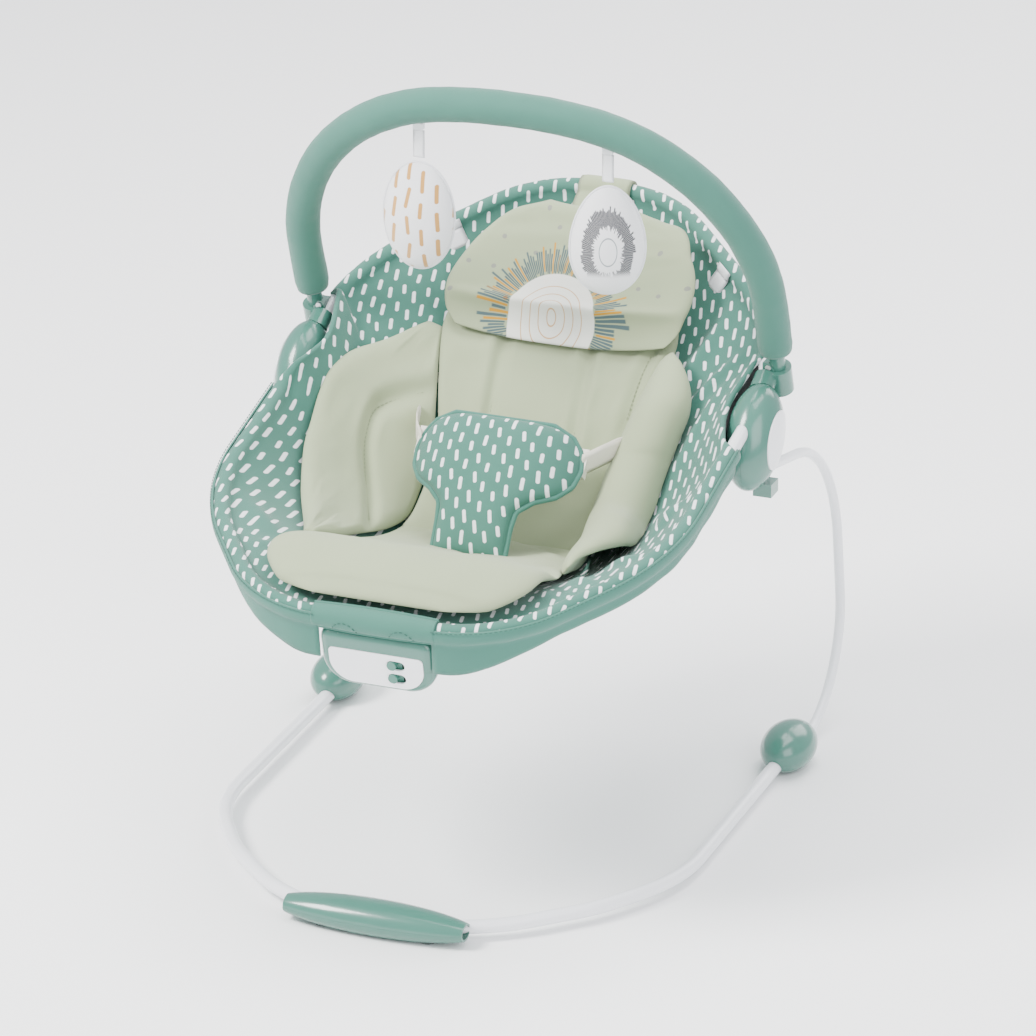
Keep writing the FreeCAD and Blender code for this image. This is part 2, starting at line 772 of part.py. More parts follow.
def along_arch(drop):
    """Y and Z of a point below the sleeve end, on the arch leg's line."""
    return (
        f"({ARCH_Y} + ({drop}) * sin(sheet.arch_lean))",
        f"({ARCH_Z} - ({drop}) * cos(sheet.arch_lean))",
    )


def arch_sockets(tube_room):
    rim = "sheet.cup_drop"
    low_y, low_z = along_arch(f"{rim} + sheet.cup_high")
    cup = cylinder(
        "cup",
        "sheet.cup_d / 2",
        "sheet.cup_high",
        x=ARCH_HALF,
        y=low_y,
        z=low_z,
        tilt="sheet.arch_lean",
    )
    clamp = plane_bore(
        "clamp",
        "sheet.clamp_d / 2",
        "sheet.back_slope",
        "sheet.ring_half",
        "(sheet.clamp_at - sheet.clamp_len / 2)",
        "sheet.clamp_len",
        False,
    )
    ear = box(
        "socket_ear",
        "11",
        "15",
        "27",
        x="sheet.ring_half - 3",
        y=f"{ARCH_Y} - 2",
        z=f"{ARCH_Z} - sheet.cup_drop - 21",
    )
    seat_y, seat_z = along_arch(f"{rim} + sheet.peg_len + 4")
    well = cylinder(
        "socket_well",
        "sheet.peg_d / 2 + sheet.peg_fit",
        "60",
        x=ARCH_HALF,
        y=seat_y,
        z=seat_z,
        tilt="sheet.arch_lean",
    )
    rim_y, rim_z = along_arch(rim)
    plug_room = cylinder(
        "plug_room",
        "sheet.post_d / 2 + sheet.part_gap",
        "60",
        x=ARCH_HALF,
        y=rim_y,
        z=rim_z,
        tilt="sheet.arch_lean",
    )
    hub_room = ellipsoid(
        "hub_room",
        "sheet.hub_thick / 2 + sheet.part_gap",
        "sheet.hub_wide / 2 + sheet.part_gap",
        "sheet.hub_long / 2 + sheet.part_gap",
        **HUB_AT,
    )
    solid = fuse("socket_solid", cup, clamp, ear)
    pair("arch_socket", cut("arch_socket", solid, tube_room, well, plug_room, hub_room))
    screws = []
    for sign, name in (("", "right"), ("-", "left")):
        start = "sheet.ring_half + 2.5" if sign == "" else "-(sheet.ring_half + 2.5)"
        screws.append(
            cylinder(
                f"socket_screw_{name}",
                "2.6",
                "1.6",
                x=start,
                y=f"{ARCH_Y} - 2",
                z=f"{ARCH_Z} - sheet.cup_drop + 2",
                tilt="90",
            )
        )
    node("socket_screws", fuse("socket_screws", *screws))


ARCH_AT = {"y": ARCH_Y, "z": ARCH_Z, "tilt": "sheet.arch_lean"}


def arch_path(start):
    points = [
        (ARCH_HALF, start),
        (ARCH_HALF, "sheet.arch_high - 21.1"),
        (f"{ARCH_HALF} * 0.116", "sheet.arch_high"),
        ("0", "sheet.arch_high"),
    ]
    return points, ["sheet.arch_bend_side", "sheet.arch_bend_top"]


def toy_arch():
    points, radii = arch_path("sheet.arch_tube_up")
    tube = bent_bar("arch_tube", "XZ", points, radii, "sheet.tube_d", TUBE_BORE)
    node("arch_tube", place(tube, **ARCH_AT))
    points, radii = arch_path("0")
    sleeve = bent_bar(
        "arch_sleeve",
        "XZ",
        points,
        radii,
        "sheet.sleeve_d",
        "max(sheet.post_d; sheet.tube_d) + sheet.part_gap * 2",
    )
    node("arch_sleeve", place(sleeve, **ARCH_AT))

    foot = "(sheet.cup_drop - sheet.part_gap)"
    foot_y, foot_z = along_arch(foot)
    plug = cylinder(
        "plug_body",
        "sheet.post_d / 2",
        f"{foot} + sheet.arch_tube_up - 0.5",
        x=ARCH_HALF,
        y=foot_y,
        z=foot_z,
        tilt="sheet.arch_lean",
    )
    peg_y, peg_z = along_arch(f"{foot} + sheet.peg_len")
    peg = cylinder(
        "plug_peg",
        "sheet.peg_d / 2",
        "sheet.peg_len + 1",
        x=ARCH_HALF,
        y=peg_y,
        z=peg_z,
        tilt="sheet.arch_lean",
    )
    pair("arch_plug", fuse("arch_plug", plug, peg))


# ---------------------------------------------------------------- toys

# Where the ribbons are sewn on under the sleeve.
TOY_TOP_Y = f"({ARCH_Y} - (sheet.arch_high - sheet.sleeve_d / 2 - 9) * sin(sheet.arch_lean))"
TOY_TOP_Z = f"({ARCH_Z} + (sheet.arch_high - sheet.sleeve_d / 2 - 9) * cos(sheet.arch_lean))"


def toys():
    loops = []
    ribbon_end = f"({TOY_TOP_Z} - sheet.ribbon_drop - sheet.ribbon_len)"
    for sign, name in (("", "right"), ("-", "left")):
        at_x = f"{sign}sheet.toy_x"
        loops.append(
            box(
                f"toy_loop_{name}",
                "sheet.loop_wide",
                "sheet.loop_high",
                "sheet.loop_high",
                x=f"{at_x} - sheet.loop_wide / 2",
                y=f"{TOY_TOP_Y} - sheet.loop_high / 2",
                z=f"{TOY_TOP_Z} - sheet.loop_drop",
            )
        )
        ribbon = box(
            f"{name}_ribbon",
            "sheet.ribbon_wide",
            "sheet.ribbon_thick",
            "sheet.ribbon_len",
            x=f"{at_x} - sheet.ribbon_wide / 2",
            y=f"{TOY_TOP_Y} - sheet.ribbon_thick / 2",
            z=ribbon_end,
        )
        node(f"{name}_ribbon", ribbon)
        toy = ellipsoid(
            f"{name}_toy",
            "sheet.toy_wide / 2",
            "sheet.toy_thick / 2",
            "sheet.toy_high / 2",
            x=at_x,
            y=TOY_TOP_Y,
            z=f"{ribbon_end} - sheet.toy_drop - sheet.toy_high / 2",
        )
        node(f"{name}_toy", toy)
    node("toy_loops", fuse("toy_loops", *loops))


# ---------------------------------------------------------------- soft goods

def bend_outline(points, radii, steps=12):
    """Points along a control polygon with its corners rounded, as (x, run)."""
    trace = [points[0]]
    for i, radius in enumerate(radii, start=1):
        here = points[i]
        back = (points[i - 1] - here).normalize()
        ahead = (points[i + 1] - here).normalize()
        turn = math.pi - back.getAngle(ahead)
        inward = (back + ahead).normalize()
        centre = here + inward * (radius / math.cos(turn / 2))
        spoke = here + back * (radius * math.tan(turn / 2)) - centre
        spin = 1 if spoke.cross(here - centre).z > 0 else -1
        for k in range(steps + 1):
            rotation = FreeCAD.Rotation(Vec(0, 0, 1), math.degrees(spin * turn * k / steps))
            trace.append(centre + rotation.multVec(spoke))
    trace.append(points[-1])
    return trace


HUB_CLEAR = 4.0
PINCH_REACH = 75.0


class Sling:
    """The bowl that the cloth makes inside the ring, as a surface over (run, side)."""

    def __init__(self):
        self.knee = Vec(0, size("sheet.knee_y"), size("sheet.knee_z"))
        self.seat = math.radians(size("sheet.seat_slope"))
        self.back = math.radians(size("sheet.back_slope"))
        half = size("sheet.ring_half")
        seat_len = size("sheet.seat_len")
        back_len = size("sheet.back_len")
        self.inset = size("sheet.tube_d") / 2 + size("sheet.sling_thick") + size("sheet.part_gap")
        self.hub_y = size(HUB_Y)
        self.pinch = half - self.inset - (size(HUB_X) - size("sheet.hub_thick") / 2 - HUB_CLEAR)
        seat_line = [
            Vec(half, 0, 0),
            Vec(half, seat_len - SEAT_CORNER, 0),
            Vec(half * SEAT_SHARE, seat_len, 0),
            Vec(0, seat_len, 0),
        ]
        back_line = [
            Vec(half, 0, 0),
            Vec(half, back_len - BACK_CORNER, 0),
            Vec(half * BACK_SHARE, back_len, 0),
            Vec(0, back_len, 0),
        ]
        self.seat_edge = self.inner_edge(
            bend_outline(seat_line, [size("sheet.seat_bend_side"), size("sheet.seat_bend_front")])
        )
        self.back_edge = self.inner_edge(
            bend_outline(back_line, [size("sheet.back_bend_side"), size("sheet.back_bend_top")])
        )
        self.front_y = self.knee.y - (seat_len - self.inset) * math.cos(self.seat)
        self.top_y = self.knee.y + (back_len - self.inset) * math.cos(self.back)
        self.hip_y = self.knee.y - 60
        self.hip_depth = size("sheet.sling_depth")
        self.back_depth = size("sheet.back_depth")

    def inner_edge(self, trace):
        """The tube's centre line moved inwards, clear of the tube."""
        moved = []
        for before, here, after in zip(trace, trace[1:], trace[2:]):
            along = (after - before).normalize()
            moved.append(here + Vec(-along.y, along.x, 0) * self.inset)
        return moved

    def half_width(self, y):
        """Half the cloth's width, drawn in where it passes the hub."""
        near = min(1.0, abs(y - self.hub_y) / PINCH_REACH)
        return self.edge_at(y) - self.pinch * math.cos(near * math.pi / 2) ** 2

    def edge_at(self, y):
        slope, edge = (self.seat, self.seat_edge) if y < self.knee.y else (self.back, self.back_edge)
        run = abs(y - self.knee.y) / math.cos(slope)
        if run <= edge[0].y:
            return edge[0].x
        for low, high in zip(edge, edge[1:]):
            if low.y <= run <= high.y and high.y > low.y:
                share = (run - low.y) / (high.y - low.y)
                return low.x + (high.x - low.x) * share
        return edge[-1].x

    def ring_height(self, y):
        slope = self.seat if y < self.knee.y else self.back
        return self.knee.z + (y - self.knee.y) * math.tan(slope)

    def depth(self, y):
        if y < self.hip_y:
            share = max(0.0, (y - self.front_y) / (self.hip_y - self.front_y))
            return self.hip_depth * (share * share * (3 - 2 * share)) ** 1.15
        share = min(1.0, (y - self.hip_y) / (self.top_y - self.hip_y))
        fall = min(1.0, share / 0.55)
        easing = 1 - fall * fall * (3 - 2 * fall)
        plateau = self.back_depth * (1 - share**6)
        return plateau + (self.hip_depth - self.back_depth) * easing

    def point(self, y, side):
        depth = self.depth(y) * (1 - abs(side) ** 2.6)
        return Vec(side * self.half_width(y), y, self.ring_height(y) - depth)

    def lifted(self, y, side, lift):
        """A point above the cloth, measured square to it."""
        here = self.point(y, side)
        step = 2.0
        low = max(self.front_y, y - step)
        high = min(self.top_y, y + step)
        along = self.point(high, side) - self.point(low, side)
        across = self.point(y, min(1, side + 0.02)) - self.point(y, max(-1, side - 0.02))
        return here + across.cross(along).normalize() * lift

    def panel(self, y_low, y_high, sides, lifts, rows=14, columns=11):
        """A closed solid between two lifts of the cloth surface.

        sides gives the lowest and highest side, or is a function of y that does.
        """
        sides_at = sides if callable(sides) else lambda y: sides
        faces = []
        borders = []
        for lift in lifts:
            grid = []
            for i in range(rows):
                y = y_low + (y_high - y_low) * i / (rows - 1)
                side_low, side_high = sides_at(y)
                line = []
                for j in range(columns):
                    side = side_low + (side_high - side_low) * j / (columns - 1)
                    line.append(self.lifted(y, side, lift))
                grid.append(line)
            surface = Part.BSplineSurface()
            surface.interpolate(grid)
            faces.append(surface.toShape())
            u0, u1, v0, v1 = surface.bounds()
            borders.append(
                [
                    surface.uIso(u0).toShape(),
                    surface.uIso(u1).toShape(),
                    surface.vIso(v0).toShape(),
                    surface.vIso(v1).toShape(),
                ]
            )
        for low_edge, high_edge in zip(*borders):
            faces.append(Part.makeRuledSurface(low_edge, high_edge))
        shell = Part.makeShell(faces)
        shell.sewShape()
        solid = Part.makeSolid(Part.Shell(shell.Faces))
        solid.fix(0.001, 0.001, 0.001)
        if solid.Volume < 0:
            solid.reverse()
        return solid


# Reach of the padded liner across the cloth, as a share of its half width.
LINER_SIDE = 0.62
LIP_SIDE = 0.84
LIP_DEEP = 62.0
LIP_EASE = 50.0
WING_IN = 0.67
WING_OUT = 0.88
WING_LIFT = 3.5
LINER_LIFT = 2.3


def soft_part(name, shape):
    feature = doc.addObject("Part::Feature", name)
    feature.Shape = shape
    feature.Placement = FreeCAD.Placement()
    node(name, feature)


def soft_goods(sling):
    thick = size("sheet.sling_thick")
    insert = size("sheet.insert_thick")
    pillow = size("sheet.pillow_thick")
    front, top, hip = sling.front_y, sling.top_y, sling.hip_y
    soft_part("sling", sling.panel(front, top, (-1, 1), (-thick, 0), 28, 19))
    lifts = (LINER_LIFT, LINER_LIFT + insert)
    fold = hip + 8

    def seat_sides(y):
        """The seat liner is broad at its front lip and narrower at the hips."""
        share = min(1.0, max(0.0, (y - front - LIP_DEEP) / LIP_EASE))
        reach = LIP_SIDE + (LINER_SIDE - LIP_SIDE) * share * share * (3 - 2 * share)
        return -reach, reach

    soft_part("insert_seat", sling.panel(front + 10, fold - 1, seat_sides, lifts, 20))
    straight = (-LINER_SIDE, LINER_SIDE)
    soft_part("insert_back", sling.panel(fold + 1, top - 26, straight, lifts))
    wing_lifts = (WING_LIFT, WING_LIFT + insert)
    for name, sides in (
        ("right_insert_wing", (WING_IN, WING_OUT)),
        ("left_insert_wing", (-WING_OUT, -WING_IN)),
    ):
        soft_part(name, sling.panel(front + 132, top - 120, sides, wing_lifts, 24))
    lifts = (lifts[1] + 1, lifts[1] + 1 + pillow)
    soft_part("head_pillow", sling.panel(top - 120, top - 14, (-0.8, 0.8), lifts))


PAD_AT = {"y": "sheet.knee_y - 136", "z": "sheet.knee_z - 102", "tilt": "-sheet.pad_lean"}


def crotch_pad():
    """T-shaped pad between the legs, standing on the seat and leaning back."""
    body = profile_block(
        "crotch_pad",
        [
            ("-34", "0"),
            ("34", "0"),
            ("34", "54"),
            ("76", "54"),
            ("76", "134"),
            ("-76", "134"),
            ("-76", "54"),
            ("-34", "54"),
        ],
        ["8", "8", "14", "22", "30", "30", "22", "14"],
        "sheet.pad_thick",
    )
    node("crotch_pad", place(body, **PAD_AT))


# ---------------------------------------------------------------- control unit

def unit_frame():
    """Place of the ring's front run, turned with the seat plane."""
    return {
        "y": "sheet.knee_y - sheet.seat_len * cos(sheet.seat_slope)",
        "z": "sheet.knee_z - sheet.seat_len * sin(sheet.seat_slope)",
        "tilt": "sheet.seat_slope",
    }


def unit_outline(inset):
    half = f"(sheet.unit_wide / 2 - {inset})"
    top = f"(-{UNIT_DROP} - {inset})"
    low = f"(-{UNIT_DROP} - sheet.unit_high + {inset})"
    points = [(half, top), (f"-{half}", top), (f"-{half}", low), (half, low)]
    radii = [f"sheet.unit_corner - {inset}"] * 2 + [f"sheet.unit_belly - {inset}"] * 2
    return points, radii


def unit_block(name, inset):
    """The unit's rounded form, shrunk by inset on every side."""
    points, radii = unit_outline(inset)
    depth = f"sheet.unit_deep - 2 * ({inset})"
    body = profile_block(name, points, radii, depth)
    return body


def stadium(name, height, x, z):
    """An oval slot through the unit's face, for one switch knob."""
    start = "-sheet.unit_front - 6"
    middle = box(
        name + "_middle",
        "sheet.knob_travel",
        "14",
        height,
        x=x,
        y=start,
        z=f"{z} - {height} / 2",
    )
    ends = []
    for side, shift in (("low", "0"), ("high", "sheet.knob_travel")):
        ends.append(
            cylinder(
                f"{name}_{side}",
                f"{height} / 2",
                "14",
                x=f"{x} + {shift}",
                y=f"{start} + 14",
                z=z,
                tilt="90",
            )
        )
    return fuse(name, middle, *ends)


SWITCH_X = "sheet.switch_x"
SWITCH_HIGH = f"-{UNIT_DROP} - sheet.switch_below"
SWITCH_Z = (f"({SWITCH_HIGH})", f"({SWITCH_HIGH} - sheet.knob_pitch)")
UNIT_SCREW_X = "(sheet.unit_wide / 2 - sheet.unit_screw_in)"
UNIT_SCREWS = (("right", UNIT_SCREW_X), ("left", f"-{UNIT_SCREW_X}"))
UNIT_SCREW_Z = f"-{UNIT_DROP} - sheet.unit_screw_below"


def control_unit():
    wall = "sheet.shell_wall"
    outer = unit_block("unit_form", "0")
    body_front_fillet(outer, "9")
    place(outer, y="-sheet.unit_front")
    inner = unit_block("unit_room", wall)
    place(inner, y=f"-sheet.unit_front + {wall}")
    slots = [
        stadium(f"slot_{i}", "(sheet.knob_d + 1)", SWITCH_X, z) for i, z in enumerate(SWITCH_Z)
    ]
    panel_seat = panel_form("panel_seat", "sheet.part_gap", "-18.6", "20")
    screw_holes = [
        cylinder(
            f"unit_screw_hole_{side}",
            "2.8",
            "12",
            x=x,
            y="sheet.unit_deep",
            z=UNIT_SCREW_Z,
            tilt="90",
        )
        for side, x in UNIT_SCREWS
    ]
    door_hole = box(
        "door_hole",
        "sheet.door_wide",
        "sheet.door_deep",
        "10",
        x="-sheet.door_wide / 2",
        y="-sheet.unit_front + sheet.door_back",
        z=f"-{UNIT_DROP} - sheet.unit_high - 5",
    )
    shell = cut("unit_shell", outer, inner, *slots, panel_seat, *screw_holes, door_hole)
    split = f"(-{UNIT_DROP} - sheet.unit_high * 0.52)"
    above = box("unit_above", "200", "200", "100", x="-100", y="-100", z=f"{split} + 0.05")
    below = box("unit_below", "200", "200", "100", x="-100", y="-100", z=f"{split} - 100.05")
    finish("control_upper_shell", common("control_upper_shell", shell, above))
    finish("control_lower_shell", common("control_lower_shell", shell, below))

    plate = panel_form("panel_plate", "0", "-0.6", "2.0")
    finish("control_panel", cut("control_panel", plate, *slots))

    for index, (name, z) in enumerate(zip(("upper", "lower"), SWITCH_Z)):
        stem = cylinder(
            f"knob_stem_{index}",
            "sheet.knob_d / 2",
            "6.5",
            x=SWITCH_X,
            y="-sheet.unit_front + 4.2",
            z=z,
            tilt="90",
        )
        flange = box(
            f"knob_flange_{index}",
            "20",
            "1.4",
            "11.5",
            x=f"{SWITCH_X} - 12",
            y=f"-sheet.unit_front + {wall} + 0.3",
            z=f"{z} - 5.75",
        )
        finish(f"{name}_switch_knob", fuse(f"{name}_switch_knob", stem, flange))


def body_front_fillet(body, radius):
    """Round the edges of the face at Y = 0 of a padded body."""
    doc.recompute()
    tip = body.Tip
    names = []
    for i, edge in enumerate(tip.Shape.Edges, start=1):
        if all(abs(v.Point.y) < 1e-6 for v in edge.Vertexes):
            names.append(f"Edge{i}")
    rounding = body.newObject("PartDesign::Fillet", body.Name + "_front_round")
    rounding.Base = (tip, names)
    rounding.setExpression("Radius", radius)
    body.Tip = rounding


def panel_form(name, grow, start, depth):
    """The white D-shaped panel: flat above, bellied below."""
    half = f"(sheet.unit_wide / 2 - 9 + {grow})"
    top = f"(-{UNIT_DROP} - 16 + {grow})"
    low = f"(-{UNIT_DROP} - sheet.unit_high + 6.5 - {grow})"
    points = [(half, top), (f"-{half}", top), (f"-{half}", low), (half, low)]
    radii = ["4", "4", "21", "21"]
    body = profile_block(name, points, radii, depth)
    place(body, y=f"-sheet.unit_front + {start}")
    return body


def finish(name, shape):
    """Turn a shape built about the ring front into place, as a node."""
    place(shape, **unit_frame())
    node(name, shape)


def control_inside():
    low = f"-{UNIT_DROP} - sheet.unit_high"
    board = box("circuit_board", "72", "1.6", "30", x="-34", y="0", z=f"-{UNIT_DROP} - 42")
    finish("circuit_board", fuse_one(board))
    cells = [
        cylinder(
            f"cell_{i}",
            "sheet.cell_d / 2",
            "sheet.cell_len",
            x="-sheet.cell_len / 2 + 0.05",
            y=y,
            z=f"{low} + sheet.cell_up",
            tilt="90",
            axis="0; 1; 0",
        )
        for i, y in enumerate(("10.5", "26"))
    ]
    finish("battery_cells", fuse("battery_cells", *cells))
    motor_pieces = [
        cylinder(
            f"motor_{name}",
            radius,
            length,
            x=f"-sheet.unit_wide / 2 + {start}",
            y="18",
            z=f"-{UNIT_DROP} - sheet.motor_below",
            tilt="90",
            axis="0; 1; 0",
        )
        for name, radius, length, start in (
            ("can", "sheet.motor_d / 2", "sheet.motor_len", "10"),
            ("shaft", "1", "6", "(9 + sheet.motor_len)"),
            ("weight", "6", "7", "(11 + sheet.motor_len)"),
        )
    ]
    finish("vibration_motor", fuse("vibration_motor", *motor_pieces))
    cone = cylinder(
        "speaker_ring",
        "sheet.speaker_d / 2",
        "sheet.speaker_deep",
        x="24",
        y="16",
        z=f"-{UNIT_DROP} - 18",
        tilt="90",
    )
    finish("speaker", fuse_one(cone))
    door = box(
        "battery_door_plate",
        "sheet.door_wide - 2 * sheet.part_gap",
        "sheet.door_deep - 2 * sheet.part_gap",
        "2",
        x="-sheet.door_wide / 2 + sheet.part_gap",
        y="-sheet.unit_front + sheet.door_back + sheet.part_gap",
        z=low,
    )
    screw_y = "-sheet.unit_front + sheet.door_screw_back"
    door_bore = cylinder("door_screw_hole", "1.8", "20", x="0", y=screw_y, z=f"{low} - 5")
    finish("battery_door", cut("battery_door", door, door_bore))
    screw = cylinder("door_screw", "1.6", "4", x="0", y=screw_y, z=f"{low} + 0.3")
    finish("battery_door_screw", fuse_one(screw))
    screws = [
        cylinder(
            f"unit_screw_{side}",
            "2.5",
            "2.4",
            x=x,
            y="sheet.unit_deep - sheet.unit_front + 0.2",
            z=UNIT_SCREW_Z,
            tilt="90",
        )
        for side, x in UNIT_SCREWS
    ]
    finish("unit_screws", fuse("unit_screws", *screws))


def fuse_one(shape):
    """A local shape wrapped so that the unit's frame can be applied to it."""
    spare = doc.addObject("Part::Compound", shape.Name + "_solid")
    spare.Links = [shape]
    return spare


def mounting_plate():
    slab = box("plate_slab", "92", "38", "2", x="-46", y="-4", z=f"-{UNIT_DROP} + 0.4")
    clips = []
    for side, x in (("right", "29"), ("left", "-39")):
        clips.append(
            cylinder(
                f"clip_{side}",
                "sheet.tube_d / 2 + 2.6",
                "10",
                x=x,
                tilt="90",
                axis="0; 1; 0",
            )
        )
    bore = cylinder("clip_bore", TUBE_HOLE, "120", x="-60", tilt="90", axis="0; 1; 0")
    solid = fuse("plate_solid", slab, *clips)
    finish("mounting_plate", cut("mounting_plate", solid, bore))


# ---------------------------------------------------------------- harness

def harness():
    back = "sheet.pad_thick"
    socket_case = box("socket_case", "28", "9", "26", x="34", y=f"{back} + 0.5", z="88")
    socket_room = box("socket_room", "40", "5", "20", x="38", y=f"{back} + 2.5", z="91")
    socket = cut("buckle_socket", socket_case, socket_room)
    place(socket, **PAD_AT)
    pair("buckle_socket", socket)
    grip = box("plug_grip", "17", "8", "26", x="62.5", y=f"{back} + 1", z="88")
    tongue = box("plug_tongue", "19", "4", "18", x="44", y=f"{back} + 3", z="92")
    plug = fuse("buckle_plug", grip, tongue)
    place(plug, **PAD_AT)
    pair("buckle_plug", plug)
    strap = box(
        "waist_strap",
        "38",
        "1.6",
        "20",
        x="88",
        y="sheet.knee_y - 38",
        z="sheet.knee_z - 47",
        tilt="74",
        axis="0; 0; 1",
    )
    pair("waist_strap", strap)


def check(obj):
    bad = {"Invalid", "Error"} & set(obj.State)
    if bad:
        raise RuntimeError(f"{obj.Label} failed: {obj.State}")


def main():
    floor_frame()
    feet()
    risers()
    seat_ring()
    tube_room = back_tube_room()
    hubs(tube_room)
    arch_sockets(tube_room)
    toy_arch()
    toys()
    soft_goods(Sling())
    crotch_pad()
    control_unit()
    control_inside()
    mounting_plate()
    harness()
    doc.recompute()

    for obj in doc.Objects:
        check(obj)
    os.makedirs("parts", exist_ok=True)
    for name, obj in NODES.items():
        shape = obj.Shape
        if shape.isNull() or not shape.isValid() or not shape.Solids:
            raise RuntimeError(f"{name} has no valid solid")
        shape.exportStep(f"parts/{name}.step")
    print(f"{len(NODES)} nodes written")


main()
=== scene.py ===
import json
import math

import bmesh
import bpy
from mathutils import Matrix, Vector, noise


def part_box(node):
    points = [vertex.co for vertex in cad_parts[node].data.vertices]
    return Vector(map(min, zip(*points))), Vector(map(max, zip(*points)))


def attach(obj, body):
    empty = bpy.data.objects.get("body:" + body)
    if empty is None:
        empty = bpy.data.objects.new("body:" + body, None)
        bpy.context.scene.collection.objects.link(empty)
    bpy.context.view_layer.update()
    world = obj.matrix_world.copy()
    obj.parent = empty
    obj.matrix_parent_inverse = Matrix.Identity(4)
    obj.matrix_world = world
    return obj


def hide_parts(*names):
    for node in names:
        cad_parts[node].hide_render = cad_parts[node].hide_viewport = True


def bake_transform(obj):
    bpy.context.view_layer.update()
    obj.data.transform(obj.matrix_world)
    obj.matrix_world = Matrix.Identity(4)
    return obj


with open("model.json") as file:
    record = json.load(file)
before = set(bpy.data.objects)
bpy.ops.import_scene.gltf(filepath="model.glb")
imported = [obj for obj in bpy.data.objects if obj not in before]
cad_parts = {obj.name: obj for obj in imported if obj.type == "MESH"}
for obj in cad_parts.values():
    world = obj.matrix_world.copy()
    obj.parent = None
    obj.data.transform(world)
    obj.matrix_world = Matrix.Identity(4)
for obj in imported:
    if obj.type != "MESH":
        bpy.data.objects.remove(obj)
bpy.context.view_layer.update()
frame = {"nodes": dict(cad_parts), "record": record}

# Baby bouncer seat. Metres, +Z up, the sitter faces -Y, floor at Z = 0.

# ---------------------------------------------------------------- sizes

WIRE = 0.009 / 2
KNEE = Vector((0, 0.0701, 0.372))
SEAT_SLOPE = math.radians(13.6)
BACK_SLOPE = math.radians(28.6)
RING_HALF = 0.211
SEAT_LEN = 0.3577
BACK_LEN = 0.2403
SEAT_CORNER = (0.5156, 0.1395)
BACK_CORNER = (0.2972, 0.1388)
SEAT_BENDS = (0.2056, 0.1144)
BACK_BENDS = (0.1740, 0.1208)
HUB = Vector((0.214, 0.0766, 0.354))
HIP_DEPTH = 0.118
BACK_DEPTH = 0.048
ARCH_HALF = 0.2198
ARCH_FOOT = Vector((0, 0.1141, 0.4213))
ARCH_LEAN = math.radians(19.5)
ARCH_HIGH = 0.2365
ARCH_BENDS = (0.183, 0.300)
SLEEVE = 0.0155
PAD_BASE = Vector((0, -0.0659, 0.270))
PAD_LEAN = math.radians(42.5)
TOY_X = 0.088
UNIT_HALF = 0.049

# The sling: from the tube's middle to its wrapped edge, where it turns down in front,
# how its print runs, how far it wraps, its free edge at the hubs, and its flat area.
SLING_EDGE = 0.0080
FRONT_TURN = -0.175
PRINT_UP = Vector((0, 0.6, 0.8))
PRINT_SPREAD = 0.62
WRAP_TURN = math.radians(300)
HUB_PINCH = 0.0175
HUB_PINCH_LONG = 0.075
FREE_EDGE = (0.016, 0.133)
FREE_EASE = 0.014
FREE_WRAP = 0.0028
SPINE_STEPS = 60

# Stitches, and the thickness of each cloth.
STITCH_LONG = 0.0026
STITCH_GAP = 0.0016
STITCH_THICK = 0.0007
SLING_THICK = 0.0011
# Thickness of the near-black sheet of painted shade at the hubs.
GAP_SHADE_THICK = 0.0008
BAND_THICK = 0.0016
FRONT_BAND_THICK = 0.0012

# How close points are merged, rows in a rod's domed end, length of the filling run,
# and, for the pads, their least gap to the sling and the width of channels and seams.
MERGE_GAP = 1e-6
ROD_END_ROWS = 4
FILLING_FRAMES = 20
SLING_GAP = 0.0028
CHANNEL_WIDE = 0.0055
SEAM_WIDE = 0.0035


# ---------------------------------------------------------------- shader values

class Value:
    """A shader socket that adds, multiplies and compares like a number."""

    def __init__(self, tree, socket):
        self.tree = tree
        self.socket = socket

    def math(self, operation, *others):
        node = self.tree.nodes.new("ShaderNodeMath")
        node.operation = operation
        for slot, item in enumerate((self, *others)):
            if isinstance(item, Value):
                self.tree.links.new(item.socket, node.inputs[slot])
            else:
                node.inputs[slot].default_value = item
        return Value(self.tree, node.outputs[0])

    def __add__(self, other):
        return self.math("ADD", other)

    def __sub__(self, other):
        return self.math("SUBTRACT", other)

    def __mul__(self, other):
        return self.math("MULTIPLY", other)

    def __truediv__(self, other):
        return self.math("DIVIDE", other)

    def floor(self):
        return self.math("FLOOR")

    def fract(self):
        return self.math("FRACT")

    def abs(self):
        return self.math("ABSOLUTE")

    def sine(self):
        return self.math("SINE")

    def most(self, other):
        return self.math("MAXIMUM", other)

    def root(self):
        return self.math("SQRT")

    def below(self, edge, soft):
        """1 well below edge, 0 well above it, with a soft step between."""
        node = self.tree.nodes.new("ShaderNodeMapRange")
        node.interpolation_type = "SMOOTHSTEP"
        node.inputs["From Min"].default_value = edge - soft
        node.inputs["From Max"].default_value = edge + soft
        node.inputs["To Min"].default_value = 1
        node.inputs["To Max"].default_value = 0
        self.tree.links.new(self.socket, node.inputs["Value"])
        return Value(self.tree, node.outputs["Result"])

    def between(self, low, high):
        """0 to 1 spread out from low to high."""
        node = self.tree.nodes.new("ShaderNodeMapRange")
        node.inputs["To Min"].default_value = low
        node.inputs["To Max"].default_value = high
        self.tree.links.new(self.socket, node.inputs["Value"])
        return Value(self.tree, node.outputs["Result"])


